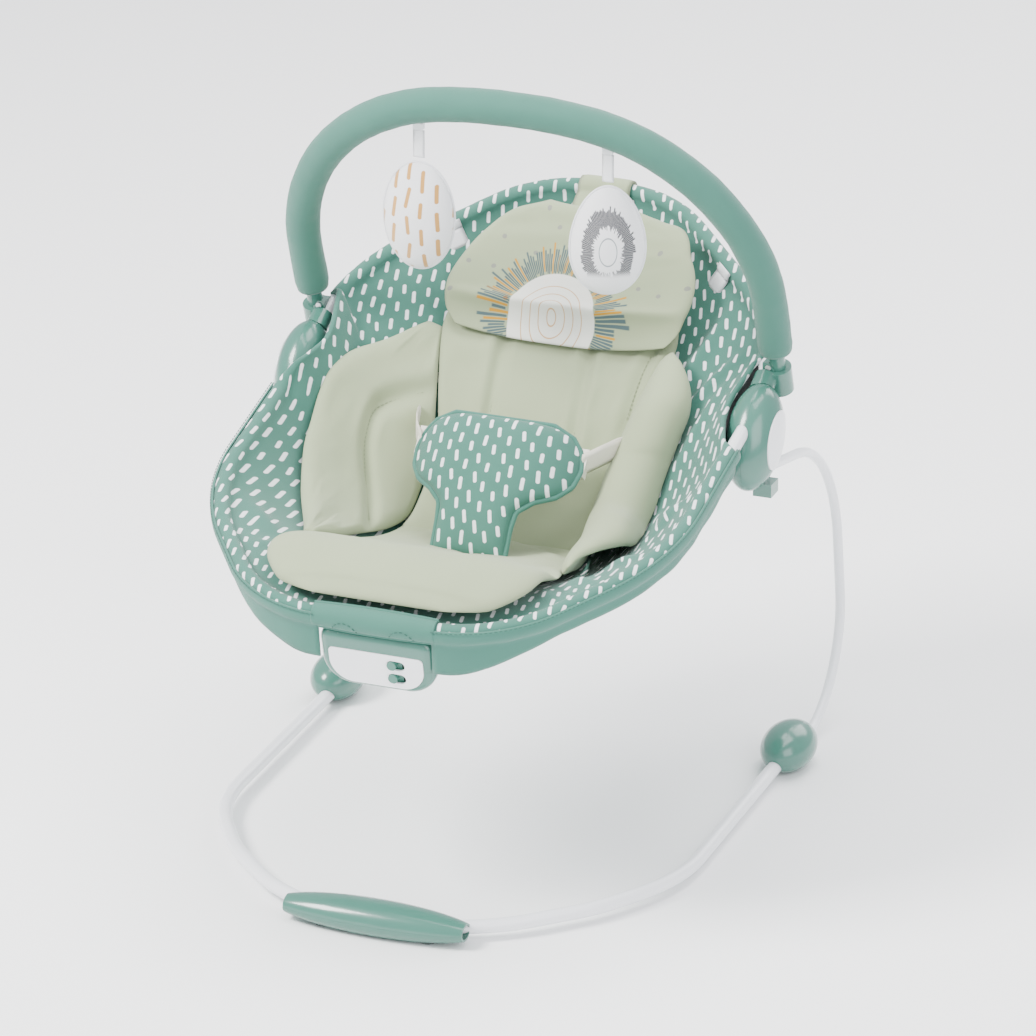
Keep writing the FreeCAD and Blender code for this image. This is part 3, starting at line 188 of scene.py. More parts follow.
class Finish:
    """A material built from one Principled shader and procedural nodes."""

    def __init__(self, name, roughness=0.5, **constants):
        self.material = bpy.data.materials.new(name)
        self.material.use_nodes = True
        self.tree = self.material.node_tree
        self.shader = self.tree.nodes["Principled BSDF"]
        self.shader.inputs["Roughness"].default_value = roughness
        for socket, value in constants.items():
            self.shader.inputs[socket.replace("_", " ")].default_value = value

    def link(self, value, socket):
        self.tree.links.new(value.socket, self.shader.inputs[socket])

    def place(self):
        node = self.tree.nodes.new("ShaderNodeTexCoord")
        return Value(self.tree, node.outputs["Object"])

    def cloth(self):
        """The piece's own cloth map, in metres along and across the cloth."""
        node = self.tree.nodes.new("ShaderNodeUVMap")
        node.uv_map = CLOTH_MAP
        return Value(self.tree, node.outputs["UV"])

    def parts(self, vector):
        node = self.tree.nodes.new("ShaderNodeSeparateXYZ")
        self.tree.links.new(vector.socket, node.inputs[0])
        return [Value(self.tree, output) for output in node.outputs]

    def joined(self, x, y, z=0.0):
        node = self.tree.nodes.new("ShaderNodeCombineXYZ")
        for slot, item in enumerate((x, y, z)):
            if isinstance(item, Value):
                self.tree.links.new(item.socket, node.inputs[slot])
            else:
                node.inputs[slot].default_value = item
        return Value(self.tree, node.outputs[0])

    def cloud(self, vector, scale, detail=2.0, roughness=0.5):
        node = self.tree.nodes.new("ShaderNodeTexNoise")
        node.inputs["Scale"].default_value = scale
        node.inputs["Detail"].default_value = detail
        node.inputs["Roughness"].default_value = roughness
        self.tree.links.new(vector.socket, node.inputs["Vector"])
        return Value(self.tree, node.outputs["Fac"])

    def chance(self, x, y, shift=0.0):
        """A random value for each whole pair of numbers."""
        node = self.tree.nodes.new("ShaderNodeTexWhiteNoise")
        node.noise_dimensions = "3D"
        self.tree.links.new(self.joined(x, y, shift).socket, node.inputs["Vector"])
        return Value(self.tree, node.outputs["Value"])

    def blend(self, share, first, second):
        """A colour between two, each a Value or three numbers."""
        node = self.tree.nodes.new("ShaderNodeMix")
        node.data_type = "RGBA"
        sockets = {socket.identifier: socket for socket in node.inputs}
        self.tree.links.new(share.socket, sockets["Factor_Float"])
        for key, colour in (("A_Color", first), ("B_Color", second)):
            if isinstance(colour, Value):
                self.tree.links.new(colour.socket, sockets[key])
            else:
                sockets[key].default_value = (*colour, 1)
        outputs = {socket.identifier: socket for socket in node.outputs}
        return Value(self.tree, outputs["Result_Color"])

    def bump(self, height, depth, strength=1.0):
        """Raise the surface by height, from 0 to 1, over depth in metres."""
        node = self.tree.nodes.new("ShaderNodeBump")
        node.inputs["Strength"].default_value = strength
        node.inputs["Distance"].default_value = depth
        self.tree.links.new(height.socket, node.inputs["Height"])
        self.tree.links.new(node.outputs["Normal"], self.shader.inputs["Normal"])


def tinted(colour, factor):
    return tuple(channel * factor for channel in colour)


# ---------------------------------------------------------------- finishes

CLOTH_MAP = "cloth_map"
SAGE = (0.050, 0.168, 0.128)
SAGE_DEEP = (0.026, 0.100, 0.074)
BEIGE = (0.325, 0.378, 0.232)
WHITE = (0.86, 0.87, 0.89)
MUSTARD = (0.52, 0.235, 0.002)
SLATE = (0.050, 0.090, 0.112)
CHARCOAL = (0.012, 0.013, 0.020)
CREAM = (0.70, 0.67, 0.57)
DASH_ACROSS = 0.0108
DASH_ALONG = 0.0180
THREAD_PITCH = 0.0009
CREASE_DEPTH = 0.00022 * 4
RIB_PITCH = 0.0011


def moulded(name, colour, roughness, grain=0.00003, **constants):
    """Moulded plastic: fine grain, slight flow marks and uneven gloss."""
    finish = Finish(name, roughness, **constants)
    place = finish.place()
    flow = finish.cloud(place, 18, 3)
    fine = finish.cloud(place, 900, 2)
    finish.link(finish.blend(flow, tinted(colour, 0.98), tinted(colour, 1.02)), "Base Color")
    gloss = finish.cloud(place, 55, 3)
    finish.link((gloss * 0.5 + fine * 0.5).between(roughness * 0.8, roughness * 1.25), "Roughness")
    finish.bump(fine, grain, 0.6)
    return finish.material


def painted_steel(name, colour, roughness):
    """Powder coat on tube: orange-peel bump and a thin clear layer."""
    finish = Finish(name, roughness, Coat_Weight=0.35, Coat_Roughness=0.18)
    place = finish.place()
    peel = finish.cloud(place, 420, 2)
    dust = finish.cloud(place, 26, 4)
    finish.link(finish.blend(dust, tinted(colour, 0.94), colour), "Base Color")
    finish.link(dust.between(roughness * 0.85, roughness * 1.3), "Roughness")
    finish.bump(peel, 0.00005, 0.5)
    return finish.material


def bare_metal(name, colour, roughness):
    """Unpainted steel with fine brushing."""
    finish = Finish(name, roughness, Metallic=1.0)
    place = finish.place()
    brushed = finish.cloud(place, 600, 3)
    finish.link(finish.blend(brushed, tinted(colour, 0.85), colour), "Base Color")
    finish.link(brushed.between(roughness * 0.7, roughness * 1.4), "Roughness")
    finish.bump(brushed, 0.00004, 0.5)
    return finish.material


def weave(finish, cloth, pitch):
    """Over-and-under threads of a plain weave, 0 to 1."""
    across, along, _ = finish.parts(cloth)
    turns = 2 * math.pi / pitch
    return (across * turns).sine() * (along * turns).sine() * 0.5 + 0.5


def cloth_finish(name, colour, roughness, pattern=None, shade=0.10):
    """Woven cloth: thread bump, soft creases and, if given, a printed pattern."""
    finish = Finish(name, roughness, Sheen_Weight=0.22, Sheen_Roughness=0.45, Specular_IOR_Level=0.25)
    cloth = finish.cloth()
    threads = weave(finish, cloth, THREAD_PITCH)
    folds = finish.cloud(cloth, 24, 4, 0.55)
    tone = finish.blend(folds, tinted(colour, 1 - shade), tinted(colour, 1 + shade * 0.6))
    tone = finish.blend(threads * 0.10, tone, tinted(colour, 0.7))
    if pattern:
        tone = pattern(finish, cloth, tone)
    finish.link(tone, "Base Color")
    finish.link(folds.between(roughness - 0.06, roughness + 0.05), "Roughness")
    finish.bump(threads * 0.25 + folds * 0.75, CREASE_DEPTH, 0.7)
    return finish.material


def dashes(finish, cloth, under, across=DASH_ACROSS, along=DASH_ALONG, ink=WHITE, lean=-9,
           long=0.0118, wide=0.0033):
    """Short slanted dashes in staggered columns, each a little different."""
    x, y, _ = finish.parts(cloth)
    column = (x / across).floor()
    side = ((x / across).fract() - 0.5) * across
    shift = finish.chance(column, 0.0, 3.0) * 0.25 + column * 0.5
    row = (y / along + shift).floor()
    up = ((y / along + shift).fract() - 0.5) * along
    jitter = finish.chance(column, row, 5.0) - 0.5
    side = side + jitter * 0.002
    slant = finish.chance(column, row, 9.0).between(lean - 8, lean + 8) * (math.pi / 180)
    along_dash = side * slant.sine() + up
    across_dash = side - up * slant.sine()
    reach = finish.chance(column, row, 7.0).between(long * 0.38, long * 0.52) - wide / 2
    beyond = (along_dash.abs() - reach).most(0.0)
    distance = (beyond * beyond + across_dash * across_dash).root()
    mask = distance.below(wide / 2, 0.00035)
    return finish.blend(mask * 0.93, under, ink)


def headrest_print(finish, cloth, under):
    """Scattered pebbles round a plain rising sun with brushed rays."""
    x, y, _ = finish.parts(cloth)
    cell = 0.030
    column = (x / cell).floor()
    row = (y / cell).floor()
    off_x = ((x / cell).fract() - 0.5) * cell + (finish.chance(column, row, 1.0) - 0.5) * 0.016
    off_y = ((y / cell).fract() - 0.5) * cell + (finish.chance(column, row, 2.0) - 0.5) * 0.016
    wobble = finish.cloud(cloth, 160, 1) * 0.0012
    spot = (off_x * off_x + off_y * off_y * 1.5).root() + wobble
    shown = finish.chance(column, row, 4.0).below(0.72, 0.01)
    golden = finish.chance(column, row, 6.0).below(0.28, 0.01)
    ink = finish.blend(golden, (0.23, 0.24, 0.20), MUSTARD)
    tone = finish.blend(spot.below(0.0031, 0.0003) * shown, under, ink)
    # The sun stands on the lower hem, a little left of the middle.
    low = y + 0.046
    away = ((x + 0.004) * (x + 0.004) + low * low * 1.15).root()
    turn = low.math("ARCTAN2", x + 0.004)
    ray = turn * (88 / math.pi)
    ray_id = ray.floor()
    core = ((ray.fract() - 0.5).abs()).below(0.36, 0.10)
    outer = finish.chance(ray_id, 1.0, 2.0).between(0.060, 0.080)
    inner = finish.chance(ray_id, 5.0, 2.0).between(0.040, 0.047)
    band = (away - outer).below(0.0, 0.0010) * (inner - away).below(0.0, 0.0010)
    bright = finish.chance(ray_id, 8.0, 2.0).below(0.22, 0.01)
    tone = finish.blend(band * core * 0.92, tone, finish.blend(bright, SLATE, MUSTARD))
    tone = finish.blend(away.below(0.043, 0.0006) * 0.92, tone, (0.80, 0.80, 0.74))
    arcs = ((away / 0.0085).fract() - 0.5).abs().below(0.055, 0.02) * away.below(0.036, 0.001)
    return finish.blend(arcs * 0.75, tone, MUSTARD)


def toy_dashes(finish, cloth, under):
    """Longer and wider dashes in mustard, for the left toy."""
    return dashes(finish, cloth, under, 0.0130, 0.0250, MUSTARD, 4, 0.0190, 0.0036)


def toy_petals(finish, cloth, under):
    """A ring of dark brushed strokes round a plain oval on the toy's face."""
    x, y, _ = finish.parts(cloth)
    low = y + 0.006
    away = (x * x * 2.6 + low * low * 0.92).root()
    turn = low.math("ARCTAN2", x * 1.6)
    ray = turn * (60 / math.pi)
    ray_id = ray.floor()
    outer = finish.chance(ray_id, 1.0, 2.0).between(0.0345, 0.0395)
    inner = finish.chance(ray_id, 4.0, 2.0).between(0.018, 0.024)
    stroke = (ray.fract() - 0.5).abs().below(0.44, 0.06)
    band = (away - outer).below(0.0, 0.0008) * (inner - away).below(0.0, 0.0008)
    upper = (low * -1).below(0.022, 0.004)
    tone = finish.blend(band * stroke * upper * 0.95, under, CHARCOAL)
    ring = (away - 0.0125).abs().below(0.0006, 0.0004)
    return finish.blend(ring * 0.8, tone, SLATE)


def plush_finish(name, colour, pattern):
    """Short white pile with a print on it."""
    finish = Finish(name, 0.95, Sheen_Weight=0.5, Sheen_Roughness=0.6, Specular_IOR_Level=0.15)
    cloth = finish.cloth()
    pile = finish.cloud(finish.place(), 1500, 3, 0.7)
    tone = finish.blend(pile, tinted(colour, 0.90), colour)
    finish.link(pattern(finish, cloth, tone), "Base Color")
    finish.bump(pile, 0.0006, 0.7)
    return finish.material


def webbing_finish(name, colour, shine=0.0):
    """Narrow woven band: ribs across its length."""
    finish = Finish(name, 0.8 - shine, Sheen_Weight=0.25, Specular_IOR_Level=0.3)
    cloth = finish.cloth()
    _, along, _ = finish.parts(cloth)
    rib = (along * (2 * math.pi / RIB_PITCH)).sine() * 0.5 + 0.5
    dust = finish.cloud(cloth, 60, 3)
    finish.link(finish.blend(dust, tinted(colour, 0.9), colour), "Base Color")
    finish.link(dust.between(0.72 - shine, 0.86 - shine), "Roughness")
    finish.bump(rib, 0.0002, 0.6)
    return finish.material


FINISHES = {
    "white_tube": painted_steel("white_powder_coat", (0.83, 0.84, 0.87), 0.30),
    "white_wire": painted_steel("white_wire_coat", (0.83, 0.84, 0.87), 0.28),
    "sage_plastic": moulded("sage_gloss_plastic", tinted(SAGE, 0.95), 0.24,
                            Coat_Weight=0.4, Coat_Roughness=0.08),
    "white_plastic": moulded("white_gloss_plastic", (0.84, 0.85, 0.87), 0.30),
    "knob_plastic": moulded("knob_plastic", tinted(SAGE, 1.05), 0.35),
    "buckle_plastic": moulded("buckle_plastic", (0.62, 0.60, 0.52), 0.42),
    "sole_rubber": moulded("sole_rubber", (0.10, 0.11, 0.11), 0.8, grain=0.0002),
    "screw_steel": bare_metal("screw_steel", (0.62, 0.63, 0.65), 0.32),
    "sage_sleeve": cloth_finish("sleeve_cloth", tinted(SAGE, 1.02), 0.7),
    "printed_sage_cloth": cloth_finish("printed_sling_cloth", SAGE, 0.8, dashes),
    "beige_cloth": cloth_finish("beige_liner_cloth", BEIGE, 0.86, shade=0.05),
    "printed_beige_cloth": cloth_finish("headrest_cloth", BEIGE, 0.86, headrest_print, shade=0.05),
    "ribbon": webbing_finish("white_ribbon", (0.85, 0.86, 0.88), shine=0.25),
    "beige_strap": webbing_finish("cream_webbing", CREAM),
    "toy_cloth": plush_finish("white_plush_dashed", (0.88, 0.88, 0.90), toy_dashes),
    "board": moulded("board_laminate", (0.05, 0.20, 0.08), 0.5),
    "cell_case": moulded("cell_case", (0.12, 0.12, 0.13), 0.35),
    "motor_steel": bare_metal("motor_steel", (0.55, 0.55, 0.56), 0.38),
    "speaker_cone": moulded("speaker_cone", (0.06, 0.06, 0.06), 0.7),
}
PETAL_PLUSH = plush_finish("white_plush_petals", (0.88, 0.88, 0.90), toy_petals)
PLAIN_SAGE = cloth_finish("plain_sage_cloth", tinted(SAGE, 1.05), 0.8)
DEEP_SAGE = cloth_finish("seam_sage_thread", SAGE_DEEP, 0.85)
BEIGE_THREAD = cloth_finish("beige_thread", tinted(BEIGE, 0.72), 0.9)
# Near-black cloth colour, used only as painted shade in the gaps at the hubs.
PAINTED_GAP_SHADE = cloth_finish("painted_gap_shade", (0.012, 0.013, 0.014), 0.9)
WHITE_TAG = cloth_finish("white_tag", (0.82, 0.83, 0.86), 0.7)


def dress_cad_nodes():
    """Give every CAD node the finish of its material slot."""
    slots = {row["node"]: row["material_slot"] for row in frame["record"]["subparts"]}
    for name, obj in frame["nodes"].items():
        finish = FINISHES[slots[name]]
        if not obj.material_slots:
            obj.data.materials.append(finish)
        for place in obj.material_slots:
            place.material = finish


# ---------------------------------------------------------------- shape helpers

def rounded(points, radii, steps=10):
    """Points along a control polygon whose corners are tangent arcs."""
    path = [points[0]]
    for before, here, after, radius in zip(points, points[1:], points[2:], radii):
        back = (before - here).normalized()
        ahead = (after - here).normalized()
        turn = math.pi - back.angle(ahead)
        centre = here + (back + ahead).normalized() * (radius / math.cos(turn / 2))
        reach = radius * math.tan(turn / 2)
        spoke = here + back * reach - centre
        axis = spoke.cross(here + ahead * reach - centre).normalized()
        for step in range(steps + 1):
            path.append(centre + Matrix.Rotation(turn * step / steps, 3, axis) @ spoke)
    path.append(points[-1])
    return path


def distances(path):
    """How far along the path each of its points lies."""
    runs = [0.0]
    for here, after in zip(path, path[1:]):
        runs.append(runs[-1] + (after - here).length)
    return runs


def along_path(path, count):
    """The same line as count points at equal distances."""
    runs = distances(path)
    places = []
    span = 0
    for step in range(count):
        want = runs[-1] * step / (count - 1)
        while span < len(path) - 2 and runs[span + 1] < want:
            span += 1
        share = (want - runs[span]) / max(1e-9, runs[span + 1] - runs[span])
        places.append(path[span].lerp(path[span + 1], share))
    return places


def smooth_step(share):
    """A share held between 0 and 1 with soft ends."""
    share = min(1.0, max(0.0, share))
    return share * share * (3 - 2 * share)


def ripple(point, scale, seed):
    """Gentle noise from -1 to 1 that is the same on every run."""
    return noise.noise(point * scale + Vector((seed, seed * 0.7, seed * 1.3)))


def settle(name, bm, finish, smooth=True):
    """Store a bmesh as a finished object at the origin."""
    mesh = bpy.data.meshes.new(name)
    bm.to_mesh(mesh)
    bm.free()
    obj = bpy.data.objects.new(name, mesh)
    bpy.context.scene.collection.objects.link(obj)
    mesh.materials.append(finish)
    for polygon in mesh.polygons:
        polygon.use_smooth = smooth
    return obj


def shaped_grid(across, along, place, bm=None):
    """A grid whose corners go to place(u, v), which gives a point and its cloth map place."""
    bm = bm or bmesh.new()
    made = bmesh.ops.create_grid(bm, x_segments=across, y_segments=along, size=0.5)["verts"]
    half = max(vert.co.x for vert in made)
    spots = {}
    for vert in made:
        u = vert.co.x / half / 2 + 0.5
        v = vert.co.y / half / 2 + 0.5
        vert.co, spots[vert] = place(u, v)
    layer = bm.loops.layers.uv.get(CLOTH_MAP) or bm.loops.layers.uv.new(CLOTH_MAP)
    for vert in made:
        for loop in vert.link_loops:
            loop[layer].uv = spots[vert]
    bm.normal_update()
    return bm


def closed(bm):
    """Merge what touches and point every face outwards."""
    bmesh.ops.remove_doubles(bm, verts=bm.verts, dist=MERGE_GAP)
    bmesh.ops.dissolve_degenerate(bm, edges=bm.edges, dist=MERGE_GAP)
    bmesh.ops.recalc_face_normals(bm, faces=bm.faces)
    return bm


def frames_along(path, up):
    """The directions along, to the side and up at each point of a path."""
    found = []
    for index in range(len(path)):
        before = path[max(0, index - 1)]
        after = path[min(len(path) - 1, index + 1)]
        along = (after - before).normalized()
        side = along.cross(up).normalized()
        found.append((along, side, side.cross(along).normalized()))
    return found


def rod(name, path, radius, finish, up=Vector((1, 0, 0)), around=20, dome=0.35, swell=None):
    """A round bar along a path with domed ends; swell(share, turn) scales its radius."""
    frames = frames_along(path, up)
    count = len(path) - 1
    runs = distances(path)

    ends = ROD_END_ROWS

    def place(u, v):
        row = round(v * (count + 2 * ends))
        index = min(count, max(0, row - ends))
        over = max(ends - row, row - count - ends, 0) / ends
        along, side, top = frames[index]
        width = radius * math.cos(over * math.pi / 2)
        push = radius * dome * math.sin(over * math.pi / 2) * (1 if row > ends else -1)
        turn = 2 * math.pi * u
        if swell:
            width *= swell(runs[index] / runs[-1], turn)
        point = path[index] + along * push + (side * math.cos(turn) + top * math.sin(turn)) * width
        return point, (turn * radius, runs[index])

    bm = closed(shaped_grid(around, count + 2 * ends, place))
    return settle(name, bm, finish)


def band(name, path, width, thick, finish, across, segments=4):
    """A flat strap along a path, with its width lying across it."""
    count = len(path) - 1
    runs = distances(path)
    bm = bmesh.new()
    for side in (1, -1):
        def place(u, v, side=side):
            index = round(v * count)
            before = path[max(0, index - 1)]
            after = path[min(count, index + 1)]
            along = (after - before).normalized()
            wide = across.normalized()
            normal = along.cross(wide).normalized()
            edge = 1 - abs(2 * u - 1) ** 6
            lift = side * thick / 2 * max(0.0, edge) ** 0.5
            point = path[index] + wide * (u - 0.5) * width + normal * lift
            return point, ((u - 0.5) * width, runs[index])
        shaped_grid(segments, count, place, bm)
    bmesh.ops.remove_doubles(bm, verts=bm.verts, dist=MERGE_GAP)
    holes = [edge for edge in bm.edges if edge.is_boundary]
    if holes:
        bmesh.ops.holes_fill(bm, edges=holes, sides=0)
    bmesh.ops.recalc_face_normals(bm, faces=bm.faces)
    return settle(name, bm, finish)


def stitches(name, path, finish, up=Vector((0, 0, 1))):
    """A row of small thread stitches lying along a path."""
    runs = distances(path)
    count = max(2, int(runs[-1] / (STITCH_LONG + STITCH_GAP)))
    places = along_path(path, count * 2 + 1)
    bm = bmesh.new()
    for index in range(count):
        start = places[2 * index]
        end = places[2 * index + 1]
        along = (end - start).normalized()
        side = along.cross(up).normalized()
        turn = Matrix((along, side, side.cross(along))).transposed().to_4x4()
        scale = Matrix.Diagonal((STITCH_LONG, STITCH_THICK, STITCH_THICK, 1))
        spot = Matrix.Translation((start + end) / 2) @ turn @ scale
        bmesh.ops.create_cube(bm, size=1, matrix=spot)
    bm.loops.layers.uv.new(CLOTH_MAP)
    return settle(name, bm, finish, smooth=False)


def ride(obj, body, slot, *replaced):
    """Fix a piece to a body and put it in place of CAD nodes; slot is not used."""
    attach(obj, body)
    if replaced:
        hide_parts(*replaced)
    return obj


def soften(obj):
    modifier = obj.modifiers.new("soften", "SUBSURF")
    modifier.levels = 1
    modifier.render_levels = 1
    return obj


def cloth_wall(obj, thickness, offset=0):
    """Give a sheet its thickness; offset -1 adds it behind the face, 0 on both sides."""
    wall = obj.modifiers.new("cloth_thickness", "SOLIDIFY")
    wall.thickness = thickness
    wall.offset = offset


# ---------------------------------------------------------------- ring and bowl

def plane_axes(slope):
    """Up the slope of one half of the ring, and square to it."""
    ahead = Vector((0, math.cos(slope), math.sin(slope)))
    above = Vector((0, -math.sin(slope), math.cos(slope)))
    return ahead, above


def on_seat_plane(x, run):
    return KNEE + Vector((x, -run * math.cos(SEAT_SLOPE), -run * math.sin(SEAT_SLOPE)))


def on_back_plane(x, run):
    return KNEE + Vector((x, run * math.cos(BACK_SLOPE), run * math.sin(BACK_SLOPE)))


def half_ring(plane, length, corner, bends):
    """One side of one half of the ring, from the hub to the middle of its end."""
    share, side_run = corner
    flat = [
        Vector((RING_HALF, 0, 0)),
        Vector((RING_HALF, length - side_run, 0)),
        Vector((RING_HALF * share, length, 0)),
        Vector((0, length, 0)),
    ]
    return [plane(point.x, point.y) for point in rounded(flat, bends, 14)]


class Bowl:
    """The hollow that the sling makes inside the ring."""

    def __init__(self):
        seat = half_ring(on_seat_plane, SEAT_LEN, SEAT_CORNER, SEAT_BENDS)
        back = half_ring(on_back_plane, BACK_LEN, BACK_CORNER, BACK_BENDS)
        right = list(reversed(seat)) + back[1:]
        left = [Vector((-p.x, p.y, p.z)) for p in reversed(right)]
        self.ring = along_path(right + left[1:-1] + [right[0]], 361)[:-1]
        self.inner = [self.inside(index) for index in range(len(self.ring))]
        self.front_y = min(p.y for p in self.inner)
        self.top_y = max(p.y for p in self.inner)
        self.hip_y = KNEE.y - 0.060
        self.edge = sorted((p.y, p.x) for p in self.inner if p.x >= 0)
        spine = [
            self.point(0, self.front_y + (self.top_y - self.front_y) * step / SPINE_STEPS)
            for step in range(SPINE_STEPS + 1)
        ]
        self.spine_runs = distances(spine)

    def outward(self, index):
        """Directions away from the bowl and up from it, at a point of the ring."""
        count = len(self.ring)
        along = self.ring[(index + 1) % count] - self.ring[index - 1]
        slope = SEAT_SLOPE if self.ring[index].y < KNEE.y else BACK_SLOPE
        _, top = plane_axes(slope)
        return along.cross(top).normalized(), top

    def inside(self, index):
        out, _ = self.outward(index)
        return self.ring[index] - out * SLING_EDGE

    def half_width(self, y):
        """Half the cloth's width, drawn in where it passes the hub."""
        return self.edge_at(y) - self.pinch(y)

    def pinch(self, y):
        near = min(1.0, abs(y - HUB.y) / HUB_PINCH_LONG)
        return HUB_PINCH * math.cos(near * math.pi / 2) ** 2

    def edge_at(self, y):
        """Half the width inside the ring."""
        before = self.edge[0]
        for here in self.edge:
            if here[0] >= y:
                share = (y - before[0]) / max(1e-9, here[0] - before[0])
                return before[1] + (here[1] - before[1]) * min(1.0, max(0.0, share))
            before = here
        return self.edge[-1][1]

    def ring_height(self, y):
        slope = SEAT_SLOPE if y < KNEE.y else BACK_SLOPE
        return KNEE.z + (y - KNEE.y) * math.tan(slope)

    def depth(self, y):
        """How deep the middle of the cloth hangs below the ring."""
        if y < self.hip_y:
            return HIP_DEPTH * smooth_step((y - self.front_y) / (self.hip_y - self.front_y)) ** 1.15
        share = min(1.0, (y - self.hip_y) / (self.top_y - self.hip_y))
        return BACK_DEPTH * (1 - share**6) + (HIP_DEPTH - BACK_DEPTH) * (1 - smooth_step(share / 0.55))

    def point(self, x, y):
        side = min(1.0, abs(x) / max(0.02, self.half_width(y)))
        return Vector((x, y, self.ring_height(y) - self.depth(y) * (1 - side**2.6)))

    def normal(self, x, y):
        step = 0.002
        along = self.point(x, y + step) - self.point(x, y - step)
        across = self.point(x + step, y) - self.point(x - step, y)
        return across.cross(along).normalized()

    def lifted(self, x, y, lift):
        return self.point(x, y) + self.normal(x, y) * lift

    def up_cloth(self, y):
        """Distance up the middle of the cloth from its front edge."""
        share = (y - self.front_y) / (self.top_y - self.front_y) * SPINE_STEPS
        low = min(SPINE_STEPS - 1, max(0, int(share)))
        return self.spine_runs[low] + (self.spine_runs[low + 1] - self.spine_runs[low]) * (share - low)

    def print_place(self, x, y):
        """Where the print falls: straight down the cloth, and turned over its front edge."""
        arc = distances([self.point(x * step / 6, y) for step in range(7)])[-1]
        across = math.copysign(abs(x) + PRINT_SPREAD * (arc - abs(x)), x)
        if y >= FRONT_TURN:
            return across, PRINT_UP.dot(self.point(x, y))
        run = self.up_cloth(FRONT_TURN) - self.up_cloth(y)
        return across, PRINT_UP.dot(self.point(x, FRONT_TURN)) - run


BOWL = Bowl()


def gap_at_hub(y):
    """1 where the cloth's edge hangs free past the hub, 0 where it is wrapped on the tube."""
    first, last = FREE_EDGE
    return smooth_step((y - first) / FREE_EASE) * smooth_step((last - y) / FREE_EASE)


def hub_raise(edge):
    """How far the free edge stands up along the hub's inner side."""
    return 0.020 if edge.x < 0 else 0.004


# Start, end, width and height of each slack fold, seen from above.
SLING_FOLDS = [
    (Vector((0.120, 0.120)), Vector((0.168, 0.215)), 0.008, 0.0050),
    (Vector((0.135, 0.105)), Vector((0.190, 0.150)), 0.006, 0.0042),
    (Vector((0.150, 0.060)), Vector((0.176, 0.120)), 0.007, 0.0036),
    (Vector((0.150, 0.010)), Vector((0.196, -0.050)), 0.008, 0.0042),
    (Vector((0.158, -0.040)), Vector((0.200, -0.020)), 0.006, 0.0034),
    (Vector((0.145, -0.100)), Vector((0.190, -0.130)), 0.007, 0.0040),
    (Vector((0.130, -0.150)), Vector((0.168, -0.185)), 0.006, 0.0044),
    (Vector((0.120, -0.190)), Vector((0.140, -0.225)), 0.006, 0.0036),
    (Vector((-0.130, 0.170)), Vector((-0.180, 0.200)), 0.007, 0.0042),
    (Vector((-0.115, 0.180)), Vector((-0.150, 0.230)), 0.006, 0.0036),
    (Vector((-0.160, 0.110)), Vector((-0.196, 0.150)), 0.006, 0.0030),
    (Vector((-0.150, -0.150)), Vector((-0.195, -0.120)), 0.008, 0.0040),
    (Vector((-0.135, -0.180)), Vector((-0.165, -0.205)), 0.006, 0.0040),
]


def cloth_folds(x, y):
    """Slack folds of the sling, as a lift in metres."""
    lift = 0.0
    for start, end, width, height in SLING_FOLDS:
        run = end - start
        spot = Vector((x, y)) - start
        share = min(1.0, max(0.0, spot.dot(run) / run.length_squared))
        away = (spot - run * share).length / width
        lift += 1.4 * height * math.exp(-away * away) * math.sin(math.pi * (0.15 + 0.7 * share))
    return lift + 0.0012 * ripple(Vector((x, y, 0)), 22, 3)




def sling_cloth():
    """The printed seat cloth: a hanging bowl whose edge is sewn round the ring tube."""
    count = len(BOWL.ring)
    rows = 34
    wrap_rows = 14
    middle = Vector((0, BOWL.hip_y, 0))

    def place(u, v):
        index = round(u * count) % count
        row = round(v * (rows + wrap_rows))
        out, top = BOWL.outward(index)
        edge = BOWL.inner[index].copy()
        free = gap_at_hub(edge.y)
        edge.x -= math.copysign(BOWL.pinch(edge.y), edge.x) * free
        share = min(1.0, row / rows) ** 0.9
        plan = middle.lerp(Vector((edge.x, edge.y, 0)), share)
        plan.y = min(BOWL.top_y, max(BOWL.front_y, plan.y))
        if row <= rows:
            point = BOWL.point(plan.x, plan.y)
            if row == rows:
                point = edge.copy()
            fold = cloth_folds(plan.x, plan.y) * smooth_step((1 - share) / 0.16)
            point += BOWL.normal(plan.x, plan.y) * fold
            point.z += hub_raise(edge) * free * smooth_step((share - 0.86) / 0.14)
            return point, BOWL.print_place(plan.x, plan.y)
        turn = WRAP_TURN * (row - rows) / wrap_rows
        radius = SLING_EDGE + (FREE_WRAP - SLING_EDGE) * free
        edge.z += hub_raise(edge) * free
        centre = edge + out * radius
        pucker = 0.0006 * ripple(edge + out * turn * 0.01, 90, 8) * math.sin(min(turn, math.pi))
        grow = radius + pucker
        point = centre + (-out * math.cos(turn) + top * math.sin(turn)) * grow
        base = BOWL.print_place(edge.x, edge.y)
        return point, (base[0] + out.x * radius * turn, base[1] + out.y * radius * turn)

    bm = closed(shaped_grid(count, rows + wrap_rows, place))
    lowest = min(bm.faces, key=lambda face: face.calc_center_median().xy.length)
    if lowest.normal.z < 0:
        bmesh.ops.reverse_faces(bm, faces=bm.faces)
    sling = settle("sling_cloth", bm, FINISHES["printed_sage_cloth"])
    cloth_wall(sling, SLING_THICK, -1)
    ride(sling, "seat", "printed_sage_cloth", "sling")


